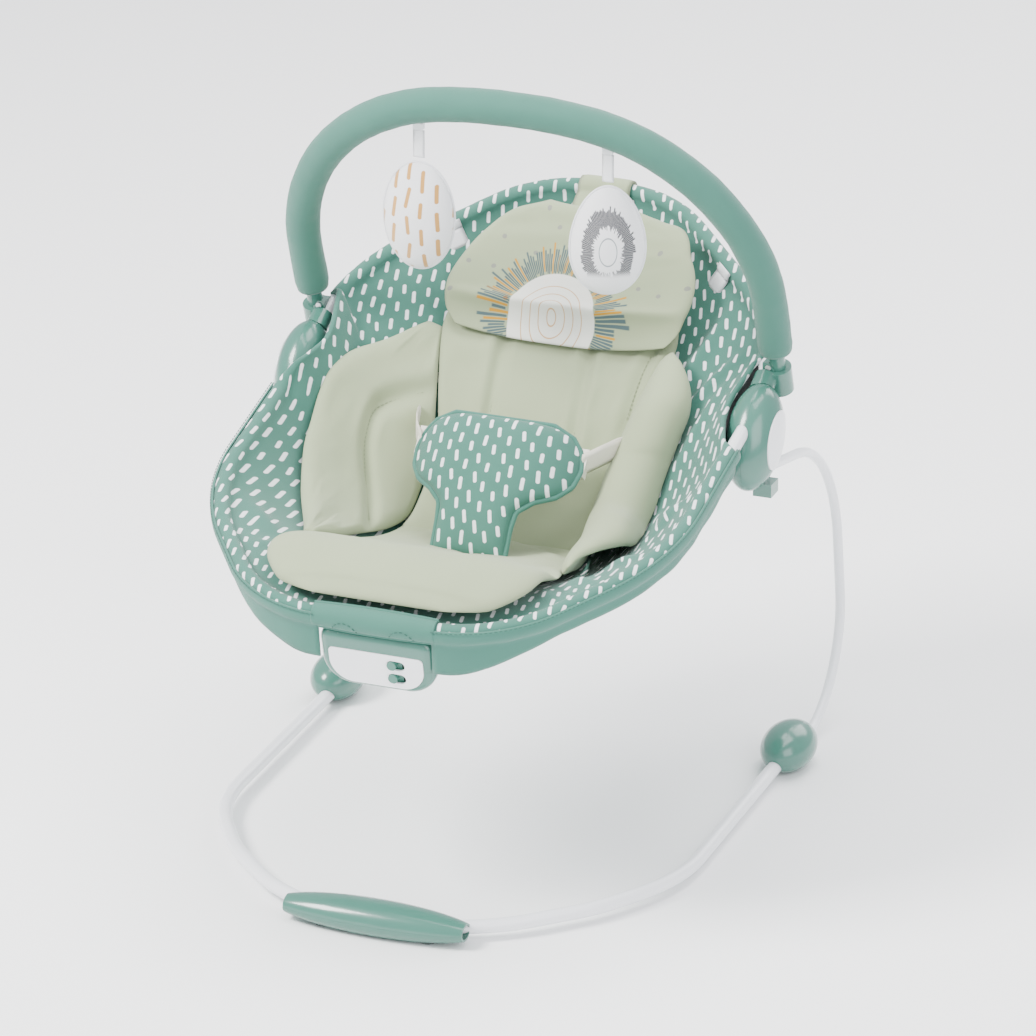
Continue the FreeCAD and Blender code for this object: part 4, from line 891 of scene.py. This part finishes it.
def hub_gap_shade():
    """Painted shade: a near-black sheet that shows between the cloth's free edge and each hub, standing in
    for the shaded gap.
    """
    for side, name in ((-1, "left"), (1, "right")):
        line = [i for i, spot in enumerate(BOWL.ring) if side * spot.x > 0 and 0.024 < spot.y < 0.127]
        line.sort(key=lambda i: BOWL.ring[i].y)

        def place(u, v, side=side, line=line):
            index = line[round(u * (len(line) - 1))]
            edge = BOWL.inner[index].copy()
            free = gap_at_hub(edge.y)
            edge.x -= side * BOWL.pinch(edge.y) * free
            edge.z += hub_raise(edge) * free
            fall = 0.026 * v
            point = edge + Vector((side * (0.0032 + 0.0016 * math.sin(math.pi * v)), 0, 0.0005 - fall))
            return point, (u * 0.1, fall)

        bm = shaped_grid(len(line) - 1, 8, place)
        bmesh.ops.recalc_face_normals(bm, faces=bm.faces)
        # The near-black sheet is painted shade for the dark gap, not a real part.
        piece = settle(name + "_hub_gap_shade", bm, PAINTED_GAP_SHADE)
        cloth_wall(piece, GAP_SHADE_THICK)
        ride(piece, "seat", "sage_sleeve")


def hem_band():
    """Plain band sewn under the tube from hub to hub, widest beside the control unit."""
    count = len(BOWL.ring)
    front = [i for i in range(count) if BOWL.ring[i].y < 0.022]
    start = next(i for i in front if (i - 1) % count not in front)
    order = [(start + step) % count for step in range(len(front))]
    for side, name in ((-1, "left"), (1, "right")):
        line = [i for i in order if side * BOWL.ring[i].x >= UNIT_HALF + 0.002]
        if side > 0:
            line = list(reversed(line))
        band_half(line, name + "_hem_band")


def band_half(line, name):
    """One half of the plain band, with the row of stitches along its upper edge."""
    rows = 10

    def place(u, v):
        index = line[round(u * (len(line) - 1))]
        out, top = BOWL.outward(index)
        centre = BOWL.ring[index]
        near = smooth_step((0.150 - abs(centre.x)) / 0.085) * (1 if centre.y < -0.15 else 0)
        drop = 0.0105 + 0.020 * near
        turn = math.radians(40)
        wrap = SLING_EDGE + 0.0014
        arc = math.radians(100)
        first = arc * wrap
        run = v * (first + drop)
        wave = 0.0012 * ripple(centre, 40, 5) * smooth_step(run / first - 0.6)
        if run < first:
            angle = turn - run / wrap
            point = centre + (out * math.cos(angle) + top * math.sin(angle)) * wrap
        else:
            angle = turn - arc
            tangent = out * math.sin(angle) * 0.55 - top * math.cos(angle)
            corner = centre + (out * math.cos(angle) + top * math.sin(angle)) * wrap
            down = Vector((0, 0, -1)) * 0.8 + tangent * 0.2
            point = corner + down.normalized() * (run - first) + out * wave
        return point, (u * len(line) * 0.004, run)

    bm = shaped_grid(len(line) - 1, rows, place)
    bmesh.ops.recalc_face_normals(bm, faces=bm.faces)
    piece = settle(name, bm, PLAIN_SAGE)
    cloth_wall(piece, BAND_THICK)
    ride(piece, "seat", "sage_sleeve")
    seam = []
    for index in line:
        out, top = BOWL.outward(index)
        seam.append(BOWL.ring[index] + out * 0.0094 + top * 0.0058)
    ride(stitches(name + "_seam", seam, DEEP_SAGE), "seat", "sage_sleeve")


# ---------------------------------------------------------------- padded pieces

def inflate(obj, pinned, most):
    """Fill a closed pad with air in a short cloth run, keeping its seams in place."""
    mesh = obj.data
    before = [vert.co.copy() for vert in mesh.vertices]
    group = obj.vertex_groups.new(name="seams")
    group.add(pinned, 1.0, "REPLACE")
    cloth = obj.modifiers.new("filling", "CLOTH")
    cloth.settings.use_pressure = True
    cloth.settings.uniform_pressure_force = 4.0
    cloth.settings.vertex_group_mass = "seams"
    cloth.settings.effector_weights.gravity = 0
    cloth.settings.quality = 5
    cloth.settings.mass = 0.15
    cloth.settings.tension_stiffness = 18
    cloth.settings.compression_stiffness = 12
    cloth.settings.bending_stiffness = 0.35
    scene = bpy.context.scene
    for number in range(1, FILLING_FRAMES + 1):
        scene.frame_set(number)
    grown = obj.evaluated_get(bpy.context.evaluated_depsgraph_get()).to_mesh()
    after = [vert.co.copy() for vert in grown.vertices]
    obj.to_mesh_clear()
    obj.modifiers.remove(cloth)
    obj.vertex_groups.remove(group)
    for vert, old, new in zip(mesh.vertices, before, after):
        move = new - old
        if move.length > most:
            move = move.normalized() * most
        vert.co = old + move
    scene.frame_set(1)
    mesh.update()
    return soften(obj)


def row_between(rows, y):
    """Values of a table of rows at y, with a smooth curve through the rows."""
    if y <= rows[0][0]:
        return rows[0][1:]
    for index in range(len(rows) - 1):
        low, high = rows[index], rows[index + 1]
        if y <= high[0]:
            before = rows[max(0, index - 1)]
            after = rows[min(len(rows) - 1, index + 2)]
            span = high[0] - low[0]
            t = (y - low[0]) / span
            found = []
            for a, b, c, d in zip(before[1:], low[1:], high[1:], after[1:]):
                out = (c - a) / max(1e-9, high[0] - before[0]) * span
                into = (d - b) / max(1e-9, after[0] - low[0]) * span
                found.append(
                    (2 * t**3 - 3 * t**2 + 1) * b + (t**3 - 2 * t**2 + t) * out
                    + (3 * t**2 - 2 * t**3) * c + (t**3 - t**2) * into
                )
            return found
    return rows[-1][1:]


def near_line(spot, line):
    """Distance from spot to a line of points, all seen from above."""
    best = 1.0
    for start, end in zip(line, line[1:]):
        run = end - start
        share = min(1.0, max(0.0, (spot - start).dot(run) / run.length_squared))
        best = min(best, (spot - start - run * share).length)
    return best


def pad(name, rows, across, along, lay, thick, finish, channels=(), edge=0.0035):
    """A stuffed piece: its outline from rows of (y, left, right), laid by lay(x, y, lift)."""
    y_low = rows[0][0]
    y_high = rows[-1][0]
    bm = bmesh.new()
    for face in (1, -1):
        def place(u, v, face=face):
            y = y_low + (y_high - y_low) * v
            left, right = row_between(rows, y)
            x = left + (right - left) * u
            rim = (1 - abs(2 * u - 1) ** 3.2) * (1 - abs(2 * v - 1) ** 6.4)
            rise = max(0.0, rim) ** 0.5
            spot = Vector((x, y))
            height = thick(y) if callable(thick) else thick
            for line, deep in channels:
                away = near_line(spot, line) / CHANNEL_WIDE
                rise *= 1 - deep * math.exp(-away * away)
            wave = 0.0010 * ripple(Vector((x, y, 0)), 42, 6) * min(1.0, rim * 2)
            if face > 0:
                point = lay(x, y, edge + rise * height + wave)
            else:
                point = lay(x, y, edge - min(edge * 0.8, rise * edge))
            return point, (x, y)
        shaped_grid(across, along, place, bm)
    closed(bm)
    return settle(name, bm, finish)


def seam_points(obj, rows, lines=()):
    """Indices of the points on the border or on a sewn channel of a pad."""
    mesh = obj.data
    layer = mesh.uv_layers[CLOTH_MAP].data
    found = set()
    for loop in mesh.loops:
        x, y = layer[loop.index].uv
        left, right = row_between(rows, y)
        across = (x - left) / max(1e-6, right - left)
        up = (y - rows[0][0]) / (rows[-1][0] - rows[0][0])
        border = min(across, 1 - across, up, 1 - up) < 0.035
        if border or any(near_line(Vector((x, y)), line) < SEAM_WIDE for line in lines):
            found.add(loop.vertex_index)
    return sorted(found)


def flat_line(*places):
    """A smooth line through places given in millimetres, seen from above."""
    points = [Vector((x, y)) / 1000 for x, y in places]
    smooth = []
    steps = 6
    for index in range(len(points) - 1):
        before = points[max(0, index - 1)]
        here, after = points[index], points[index + 1]
        beyond = points[min(len(points) - 1, index + 2)]
        for step in range(steps):
            t = step / steps
            smooth.append(
                here * (2 * t**3 - 3 * t**2 + 1) + (after - before) * 0.5 * (t**3 - 2 * t**2 + t)
                + after * (3 * t**2 - 2 * t**3) + (beyond - here) * 0.5 * (t**3 - t**2)
            )
    smooth.append(points[-1])
    return smooth


# The liner's seams, in millimetres on the plan of the bowl, and the outline of each pad
# as rows of (y, left, right) in metres.
WING_ARC = flat_line((-97, 108), (-123, 92), (-145, 69), (-146, 44), (-139, 23), (-126, -6), (-104, -52))
BACK_CHANNELS = [
    flat_line((-49, 186), (-47, 150), (-42, 100), (-42, 70)),
    flat_line((31, 184), (36, 150), (41, 106), (42, 70)),
    flat_line((97, 160), (92, 140), (90, 122), (89, 100)),
]
SEAT_LIP_CREASE = flat_line((-122, -168), (-60, -176), (0, -178), (60, -176), (122, -168))
WING_ROWS = [
    (-0.140, -0.127, -0.120),
    (-0.120, -0.136, -0.115),
    (-0.098, -0.147, -0.110),
    (-0.064, -0.164, -0.106),
    (-0.019, -0.181, -0.094),
    (0.008, -0.186, -0.088),
    (0.042, -0.188, -0.087),
    (0.075, -0.183, -0.088),
    (0.102, -0.171, -0.095),
    (0.131, -0.145, -0.104),
    (0.154, -0.121, -0.110),
]
BACK_ROWS = [
    (-0.010, -0.090, 0.090),
    (0.037, -0.088, 0.088),
    (0.077, -0.087, 0.088),
    (0.112, -0.099, 0.104),
    (0.154, -0.112, 0.117),
    (0.185, -0.108, 0.110),
    (0.215, -0.098, 0.098),
    (0.245, -0.080, 0.080),
]
SEAT_ROWS = [
    (-0.277, -0.050, 0.050),
    (-0.268, -0.082, 0.082),
    (-0.252, -0.104, 0.104),
    (-0.226, -0.124, 0.124),
    (-0.190, -0.128, 0.128),
    (-0.158, -0.124, 0.124),
    (-0.120, -0.112, 0.112),
    (-0.060, -0.100, 0.100),
    (0.000, -0.089, 0.089),
    (0.020, -0.086, 0.086),
]
HEADREST_ROWS = [
    (0.150, -0.096, 0.112),
    (0.160, -0.112, 0.128),
    (0.180, -0.119, 0.137),
    (0.205, -0.113, 0.134),
    (0.228, -0.099, 0.116),
    (0.249, -0.076, 0.086),
    (0.264, -0.040, 0.044),
]


def rest_on_sling(obj):
    """Lift any point of a pad that would sink into the sling."""
    for vert in obj.data.vertices:
        x, y, z = vert.co
        if y < BOWL.front_y + 0.006 or abs(x) > BOWL.half_width(y):
            continue
        vert.co.z = max(z, BOWL.point(x, y).z + SLING_GAP)


def liner():
    """The four stuffed parts of the beige liner: seat, back, and a wing on each side."""
    lay = BOWL.lifted

    lip_end = -0.258

    def over(lift):
        return lambda x, y, rise: lay(x, y, lift + rise)

    def seat_crown(y):
        lip = smooth_step((-0.168 - y) / 0.022)
        return 0.0100 + 0.0090 * lip

    def seat_lay(x, y, rise):
        lip = smooth_step((-0.165 - y) / 0.05)
        ease = smooth_step((-0.215 - y) / 0.05)
        point = lay(x, max(y, lip_end), 0.003 + rise + 0.010 * lip)
        point.z -= 0.003 * ease
        if y < lip_end:
            point.y = min(point.y, y)
        return point

    seat = pad("seat_liner", SEAT_ROWS, 44, 48, seat_lay, seat_crown, FINISHES["beige_cloth"],
               [(SEAT_LIP_CREASE, 0.8), (flat_line((0, -160), (0, -20)), 0.25)])
    back = pad("back_liner", BACK_ROWS, 44, 44, over(0.005), 0.0135, FINISHES["beige_cloth"],
               [(line, 0.75) for line in BACK_CHANNELS])
    left = pad("left_wing_liner", WING_ROWS, 30, 48, over(0.004), 0.0125, FINISHES["beige_cloth"],
               [(WING_ARC, 0.7)])
    right_rows = [(y, -inner, -outer) for y, outer, inner in WING_ROWS]
    lean = 0.72
    roll = 0.0145

    def right_lay(x, y, rise):
        """The right wing stands up from the bowl and its outer edge rolls over."""
        inner, outer = row_between(right_rows, y)
        stand = max(0.012, min(0.034, (outer - inner) * 0.45))
        base = lay(inner, y, 0.004)
        out = (lay(inner + 0.002, y, 0.004) - base).normalized()
        up = BOWL.normal(inner, y)
        along = (out * lean + up * (1 - lean * lean) ** 0.5).normalized()
        away = (up * lean - out * (1 - lean * lean) ** 0.5).normalized()
        run = x - inner
        if run < stand:
            return base + along * run + away * rise
        turn = (run - stand) / roll
        centre = base + along * stand - away * roll
        spoke = away * math.cos(turn) + along * math.sin(turn)
        return centre + spoke * (roll + rise)

    right = pad("right_wing_liner", right_rows, 40, 48, right_lay, 0.0095, FINISHES["beige_cloth"])
    seams = [("left_wing_seam", WING_ARC, 0.0128)]
    for index, line in enumerate(BACK_CHANNELS):
        seams.append(("back_seam_%d" % index, line, 0.0132))
    for seam_name, line, lift in seams:
        path = [lay(spot.x, spot.y, lift) for spot in line[3:-2]]
        ride(stitches(seam_name, path, BEIGE_THREAD, up=Vector((0, -0.5, 0.8))), "seat", "beige_cloth")
    pieces = ((seat, "insert_seat", 0.7), (back, "insert_back", 0.7),
              (left, "left_insert_wing", 0.6), (right, "right_insert_wing", 0.6))
    inflate(seat, seam_points(seat, SEAT_ROWS, [SEAT_LIP_CREASE]), most=0.006)
    inflate(back, seam_points(back, BACK_ROWS, BACK_CHANNELS), most=0.005)
    inflate(left, seam_points(left, WING_ROWS, [WING_ARC]), most=0.006)
    inflate(right, seam_points(right, right_rows), most=0.003)
    for obj, node, fill in pieces:
        rest_on_sling(obj)
        ride(obj, "seat", "beige_cloth", node)


def headrest():
    """A flat stuffed pillow on the upper back with a free hem along its lower edge."""

    def laid(x, y, rise):
        droop = smooth_step((0.172 - y) / 0.024)
        return BOWL.lifted(x, y, 0.029 + rise - 0.009 * droop)

    def full(y):
        hem = smooth_step((y - 0.160) / 0.012)
        return 0.003 + 0.016 * hem

    finish = FINISHES["printed_beige_cloth"]
    pillow = pad("headrest_pillow", HEADREST_ROWS, 48, 36, laid, full, finish)
    inflate(pillow, seam_points(pillow, HEADREST_ROWS), most=0.006)
    print_middle = 0.209
    layer = pillow.data.uv_layers[CLOTH_MAP]
    for loop in layer.data:
        loop.uv = (loop.uv[0], (loop.uv[1] - print_middle) * 1.05)
    ride(pillow, "seat", "printed_beige_cloth", "head_pillow")


# ---------------------------------------------------------------- crotch pad

def crotch_pad():
    """A T-shaped pad that stands on its stem between the legs, its arms curled back."""
    up = Vector((0, math.sin(PAD_LEAN), math.cos(PAD_LEAN)))
    face = Vector((0, -math.cos(PAD_LEAN), math.sin(PAD_LEAN)))
    rows = [
        (0.000, 0.034),
        (0.030, 0.034),
        (0.046, 0.036),
        (0.058, 0.048),
        (0.068, 0.064),
        (0.082, 0.074),
        (0.100, 0.077),
        (0.116, 0.073),
        (0.127, 0.064),
        (0.134, 0.046),
    ]
    high = rows[-1][0]
    outline = [(run, -half, half) for run, half in rows]
    thick = 0.021

    def placed(x, run, depth):
        curl = 0.022 * max(0.0, (abs(x) - 0.020) / 0.056) ** 2
        lean = 0.010 * math.sin(math.pi * min(1.0, run / high))
        return PAD_BASE + Vector((x, 0, -0.009)) + up * run + face * (lean + 0.004 - curl + depth)

    bm = bmesh.new()
    for side in (1, -1):
        def place(u, v, side=side):
            run = high * v
            half = row_between(outline, run)[1]
            x = (2 * u - 1) * half
            rim = (1 - abs(2 * u - 1) ** 3.4) * (1 - abs(2 * v - 1) ** 7)
            rise = max(0.0, rim) ** 0.5
            wave = 0.0009 * ripple(Vector((x, run, 0)), 48, 11) * rise
            return placed(x, run, side * (thick / 2 * rise + wave)), (x, run)
        shaped_grid(40, 36, place, bm)
    closed(bm)
    body = settle("crotch_pad_cover", bm, FINISHES["printed_sage_cloth"])
    inflate(body, seam_points(body, outline), most=0.006)
    ride(body, "seat", "printed_sage_cloth", "crotch_pad")
    edge = [placed(-half, run, 0) for run, half in rows]
    edge += [placed(half, run, 0) for run, half in reversed(rows)]
    edge = along_path(edge, 110)
    binding = rod("crotch_pad_binding", edge, 0.0026, PLAIN_SAGE, up=face, around=12)
    ride(binding, "seat", "sage_sleeve")


# ---------------------------------------------------------------- wires and arch

def spring_wires():
    """The two bent wires that carry the seat, each running from the base up to the seat."""
    for side, name in ((-1, "left"), (1, "right")):
        x = side * 0.223
        line = rounded(
            [Vector((x, 0.1856, 0.0125)), Vector((x, 0.3164, 0.0125)),
             Vector((x, 0.2688, 0.2827)), Vector((x, 0.0775, 0.3255))],
            (0.0906, 0.1612), 26)
        wire = rod(name + "_spring_wire", along_path(line, 120), WIRE, FINISHES["white_wire"], around=20)
        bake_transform(wire)
        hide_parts(name + "_riser_lower", name + "_riser_upper")


ARCH_UP = Vector((0, -math.sin(ARCH_LEAN), math.cos(ARCH_LEAN)))


def arch_line():
    """The toy bar's centre line from socket to socket."""
    flat = [(ARCH_HALF, 0.0), (ARCH_HALF, 0.2154), (0.0255, ARCH_HIGH), (0.0, ARCH_HIGH)]
    half = rounded([ARCH_FOOT + Vector((x, 0, 0)) + ARCH_UP * up for x, up in flat], ARCH_BENDS, 20)
    left = [Vector((-p.x, p.y, p.z)) for p in half]
    return along_path(left[:-1] + list(reversed(half)), 241)


def arch_sleeve():
    """A quilted tube of plain cloth pushed over the toy bar."""
    line = arch_line()
    runs = distances(line)
    start = 0.0012
    covered = [p for p, run in zip(line, runs) if start < run < runs[-1] - start]
    covered = along_path(covered, 330)
    front = Vector((0, -math.cos(ARCH_LEAN), -math.sin(ARCH_LEAN)))

    def swell(share, turn):
        end = min(share, 1 - share)
        neck = 0.93 + 0.07 * smooth_step(end / 0.010)
        quilt = 0.010 * math.sin(share * 210) * math.sin(turn * 2 + 1)
        slack = 0.030 * noise.noise(Vector((share * 26, math.cos(turn) * 1.2, math.sin(turn) * 1.2)))
        return neck + quilt * 0.6 + slack

    sleeve = rod("quilted_toy_bar_sleeve", covered, SLEEVE, FINISHES["sage_sleeve"],
                 up=front, around=36, dome=0.0, swell=swell)
    ride(sleeve, "arch", "sage_sleeve", "arch_sleeve")


# ---------------------------------------------------------------- straps

def waist_straps():
    """Cream webbing from the buckles back to the slots in the liner."""
    for side, name in ((-1, "left"), (1, "right")):
        flat = [(76, 14, 331), (86, 30, 334), (95, 52, 335), (101, 72, 331), (103, 84, 322)]
        line = along_path([Vector((side * x, y, z)) / 1000 for x, y, z in flat], 30)
        strap = band(name + "_waist_webbing", line, 0.020, 0.0017, FINISHES["beige_strap"],
                     Vector((0, 0.10, 1)))
        distances(line)[-1]
        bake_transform(strap)
        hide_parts(name + "_waist_strap")


# ---------------------------------------------------------------- hanging toys

def plush(name, centre, size, turn, top_share, finish):
    """A stuffed plush shape: two faces sewn together round the rim."""
    width, depth, height = size
    bm = bmesh.new()
    bmesh.ops.create_uvsphere(bm, u_segments=48, v_segments=32, radius=0.5)
    layer = bm.loops.layers.uv.new(CLOTH_MAP)
    spin = Matrix.Rotation(turn, 3, "Z")
    spots = {}
    for vert in bm.verts:
        x, y, z = vert.co * 2
        flat = math.sqrt(max(0.0, 1 - (abs(x) ** 2.3 + abs(z) ** 2.3) ** (2 / 2.3)))
        belly = abs(y) ** 0.8 * (0.55 + 0.45 * flat)
        x *= 1 + top_share * z
        spots[vert] = (x * width / 2, z * height / 2)
        puff = 1 + 0.03 * ripple(Vector((x, y, z)), 2.2, 7)
        shape = Vector((x * width / 2, math.copysign(belly, y) * depth / 2 * puff, z * height / 2))
        vert.co = centre + spin @ shape
    for vert in bm.verts:
        for loop in vert.link_loops:
            loop[layer].uv = spots[vert]
    bmesh.ops.recalc_face_normals(bm, faces=bm.faces)
    body = settle(name, bm, finish)
    rim = []
    rim_steps = 96
    stand_out = 0.0006
    for step in range(rim_steps + 1):
        angle = 2 * math.pi * step / rim_steps
        x, z = math.cos(angle), math.sin(angle)
        x *= 1 + top_share * z
        rim.append(centre + spin @ Vector((x * (width / 2 + stand_out), 0, z * (height / 2 + stand_out))))
    seam = rod(name + "_seam", rim, 0.0011, WHITE_TAG, up=spin @ Vector((0, 1, 0)), around=8, dome=0.0)
    return body, seam


def hanging_toys():
    """Two plush toys, each on a ribbon sewn to the toy bar."""
    for side, name, finish, turn, top in (
        (-1, "left", FINISHES["toy_cloth"], math.radians(4), 0.0),
        (1, "right", PETAL_PLUSH, math.radians(22), -0.14),
    ):
        low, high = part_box(name + "_toy")
        centre = (low + high) / 2
        body, seam = plush(name + "_plush_toy", centre, (0.064, 0.032, high.z - low.z), turn, top, finish)
        ride(body, name + "_toy_body", "toy_cloth", name + "_toy")
        ride(seam, name + "_toy_body", "toy_cloth")
        low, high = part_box(name + "_ribbon")
        x = side * TOY_X
        y = (low.y + high.y) / 2
        line = [Vector((x, y, high.z - (high.z - low.z) * step / 12)) for step in range(13)]
        tape = band(name + "_toy_ribbon", line, 0.011, 0.0011, FINISHES["ribbon"], Vector((1, 0, 0)))
        ride(tape, name + "_ribbon_link", "ribbon", name + "_ribbon")


# ---------------------------------------------------------------- trim

def headrest_trim():
    """The tab that holds the headrest to the top of the ring."""
    top = BOWL.top_y
    line = [BOWL.lifted(0, y, lift) for y, lift in ((0.238, 0.040), (0.252, 0.030), (top - 0.012, 0.016))]
    ring = BOWL.ring[len(BOWL.ring) // 2]
    ahead, above = plane_axes(BACK_SLOPE)
    for step in range(9):
        angle = math.radians(150 - step * 24)
        line.append(ring + (ahead * math.cos(angle) + above * math.sin(angle)) * 0.0108)
    tab = band("headrest_tab", along_path(line, 40), 0.050, 0.0022, FINISHES["beige_cloth"],
               Vector((1, 0, 0)), segments=10)
    distances(line)[-1]
    ride(tab, "seat", "beige_cloth")


def side_tags():
    """Small folded white tags sewn into the cloth beside the back tube."""
    for side, name, y in ((-1, "left", 0.224), (1, "right", 0.214)):
        nearest = min(range(len(BOWL.ring)),
                      key=lambda i: abs(BOWL.ring[i].y - y) + (1 if BOWL.ring[i].x * side < 0 else 0))
        out, top = BOWL.outward(nearest)
        ring = BOWL.ring[nearest]
        line = []
        for step in range(9):
            angle = math.radians(128 + step * 6)
            line.append(ring + (out * math.cos(angle) + top * math.sin(angle)) * 0.0100)
        for step in range(6):
            line.append(line[8] - top * 0.0022 * step - out * 0.0026 * step)
        along = (BOWL.ring[nearest + 1] - BOWL.ring[nearest - 1]).normalized()
        tag = band(name + "_side_tag", line, 0.020, 0.0011, WHITE_TAG, along)
        distances(line)[-1]
        ride(tag, "seat", "ribbon")


def unit_band():
    """Plain piped band with two stitched arcs where the sling meets the mounting plate."""
    count = 90
    half = 0.056
    centre = on_seat_plane(0, SEAT_LEN)
    up_seat, above = plane_axes(SEAT_SLOPE)
    ahead = -up_seat

    def spot(share, angle, radius):
        x = (share - 0.5) * 2 * half
        bow = 0.0014 * (1 - (x / half) ** 2)
        spoke = (ahead * math.cos(angle) + above * math.sin(angle)) * (radius + bow)
        return centre + Vector((x, 0, 0)) + spoke

    def place(u, v):
        angle = math.radians(112 - 172 * v)
        return spot(u, angle, 0.0094), (u * 2 * half, v * 0.027)

    bm = shaped_grid(count, 18, place)
    bmesh.ops.recalc_face_normals(bm, faces=bm.faces)
    piece = settle("front_band", bm, PLAIN_SAGE)
    cloth_wall(piece, FRONT_BAND_THICK)
    ride(piece, "seat", "sage_sleeve")
    for index, angle in enumerate((112, -60)):
        line = [spot(step / 60, math.radians(angle), 0.0098) for step in range(61)]
        cord = rod("front_band_piping_%d" % index, line, 0.0016, PLAIN_SAGE, up=above, around=10)
        ride(cord, "seat", "sage_sleeve")
    for middle in (-0.026, 0.026):
        line = []
        for step in range(25):
            angle = math.radians(180 * step / 24)
            share = 0.5 + (middle + 0.011 * math.cos(angle)) / (2 * half)
            line.append(spot(share, math.radians(-42 + 52 * math.sin(angle)), 0.0103))
        name = "front_band_arc_%s" % ("left" if middle < 0 else "right")
        ride(stitches(name, line, DEEP_SAGE, up=ahead), "seat", "sage_sleeve")


# ---------------------------------------------------------------- camera, floor and light

def studio():
    """Camera, floor, four soft lights and a pale room."""
    target = Vector((-0.0039, 0.0656, 0.2487))
    distance = 6
    azimuth = math.radians(21.11)
    rise = math.radians(22.75)
    ray = Vector((math.sin(azimuth) * math.cos(rise), -math.cos(azimuth) * math.cos(rise), math.sin(rise)))
    lens = bpy.data.cameras.new("camera")
    lens.lens = 234.04
    lens.sensor_width = 36
    camera = bpy.data.objects.new("camera", lens)
    camera.location = target + ray * distance
    camera.rotation_euler = ray.to_track_quat("Z", "Y").to_euler()
    bpy.context.scene.collection.objects.link(camera)
    bpy.context.scene.camera = camera
    floor_finish = Finish("studio_floor", 0.75)
    patches = floor_finish.cloud(floor_finish.place(), 0.7)
    shades = floor_finish.blend(patches, (0.93, 0.93, 0.935), (0.96, 0.96, 0.96))
    floor_finish.link(shades, "Base Color")
    bm = bmesh.new()
    bmesh.ops.create_grid(bm, x_segments=1, y_segments=1, size=6)
    ground = settle("studio_floor", bm, floor_finish.material)
    aim_at = Vector((0, 0, 0.25))
    for name, place, size, power, tint in (
        ("key_light", (-1.9, -1.5, 2.7), 1.2, 235, (1, 0.985, 0.965)),
        ("fill_light", (2.4, -1.7, 1.9), 2.4, 84, (0.97, 0.985, 1)),
        ("top_light", (0.2, 0.5, 3.2), 2.2, 105, (1, 1, 1)),
        ("back_light", (0.8, 2.6, 2.0), 1.8, 56, (1, 1, 1)),
    ):
        lamp = bpy.data.lights.new(name, "AREA")
        lamp.size = size
        lamp.energy = power
        lamp.color = tint
        holder = bpy.data.objects.new(name, lamp)
        holder.location = place
        aim = Vector(place) - aim_at
        holder.rotation_euler = aim.to_track_quat("Z", "Y").to_euler()
        bpy.context.scene.collection.objects.link(holder)
    world = bpy.data.worlds.new("soft_room")
    world.use_nodes = True
    background = world.node_tree.nodes["Background"]
    background.inputs["Color"].default_value = (0.93, 0.95, 1, 1)
    background.inputs["Strength"].default_value = 1.1
    bpy.context.scene.world = world


# ---------------------------------------------------------------- the seat

dress_cad_nodes()
sling_cloth()
hub_gap_shade()
hem_band()
unit_band()
liner()
headrest()
headrest_trim()
crotch_pad()
spring_wires()
arch_sleeve()
waist_straps()
hanging_toys()
side_tags()
studio()
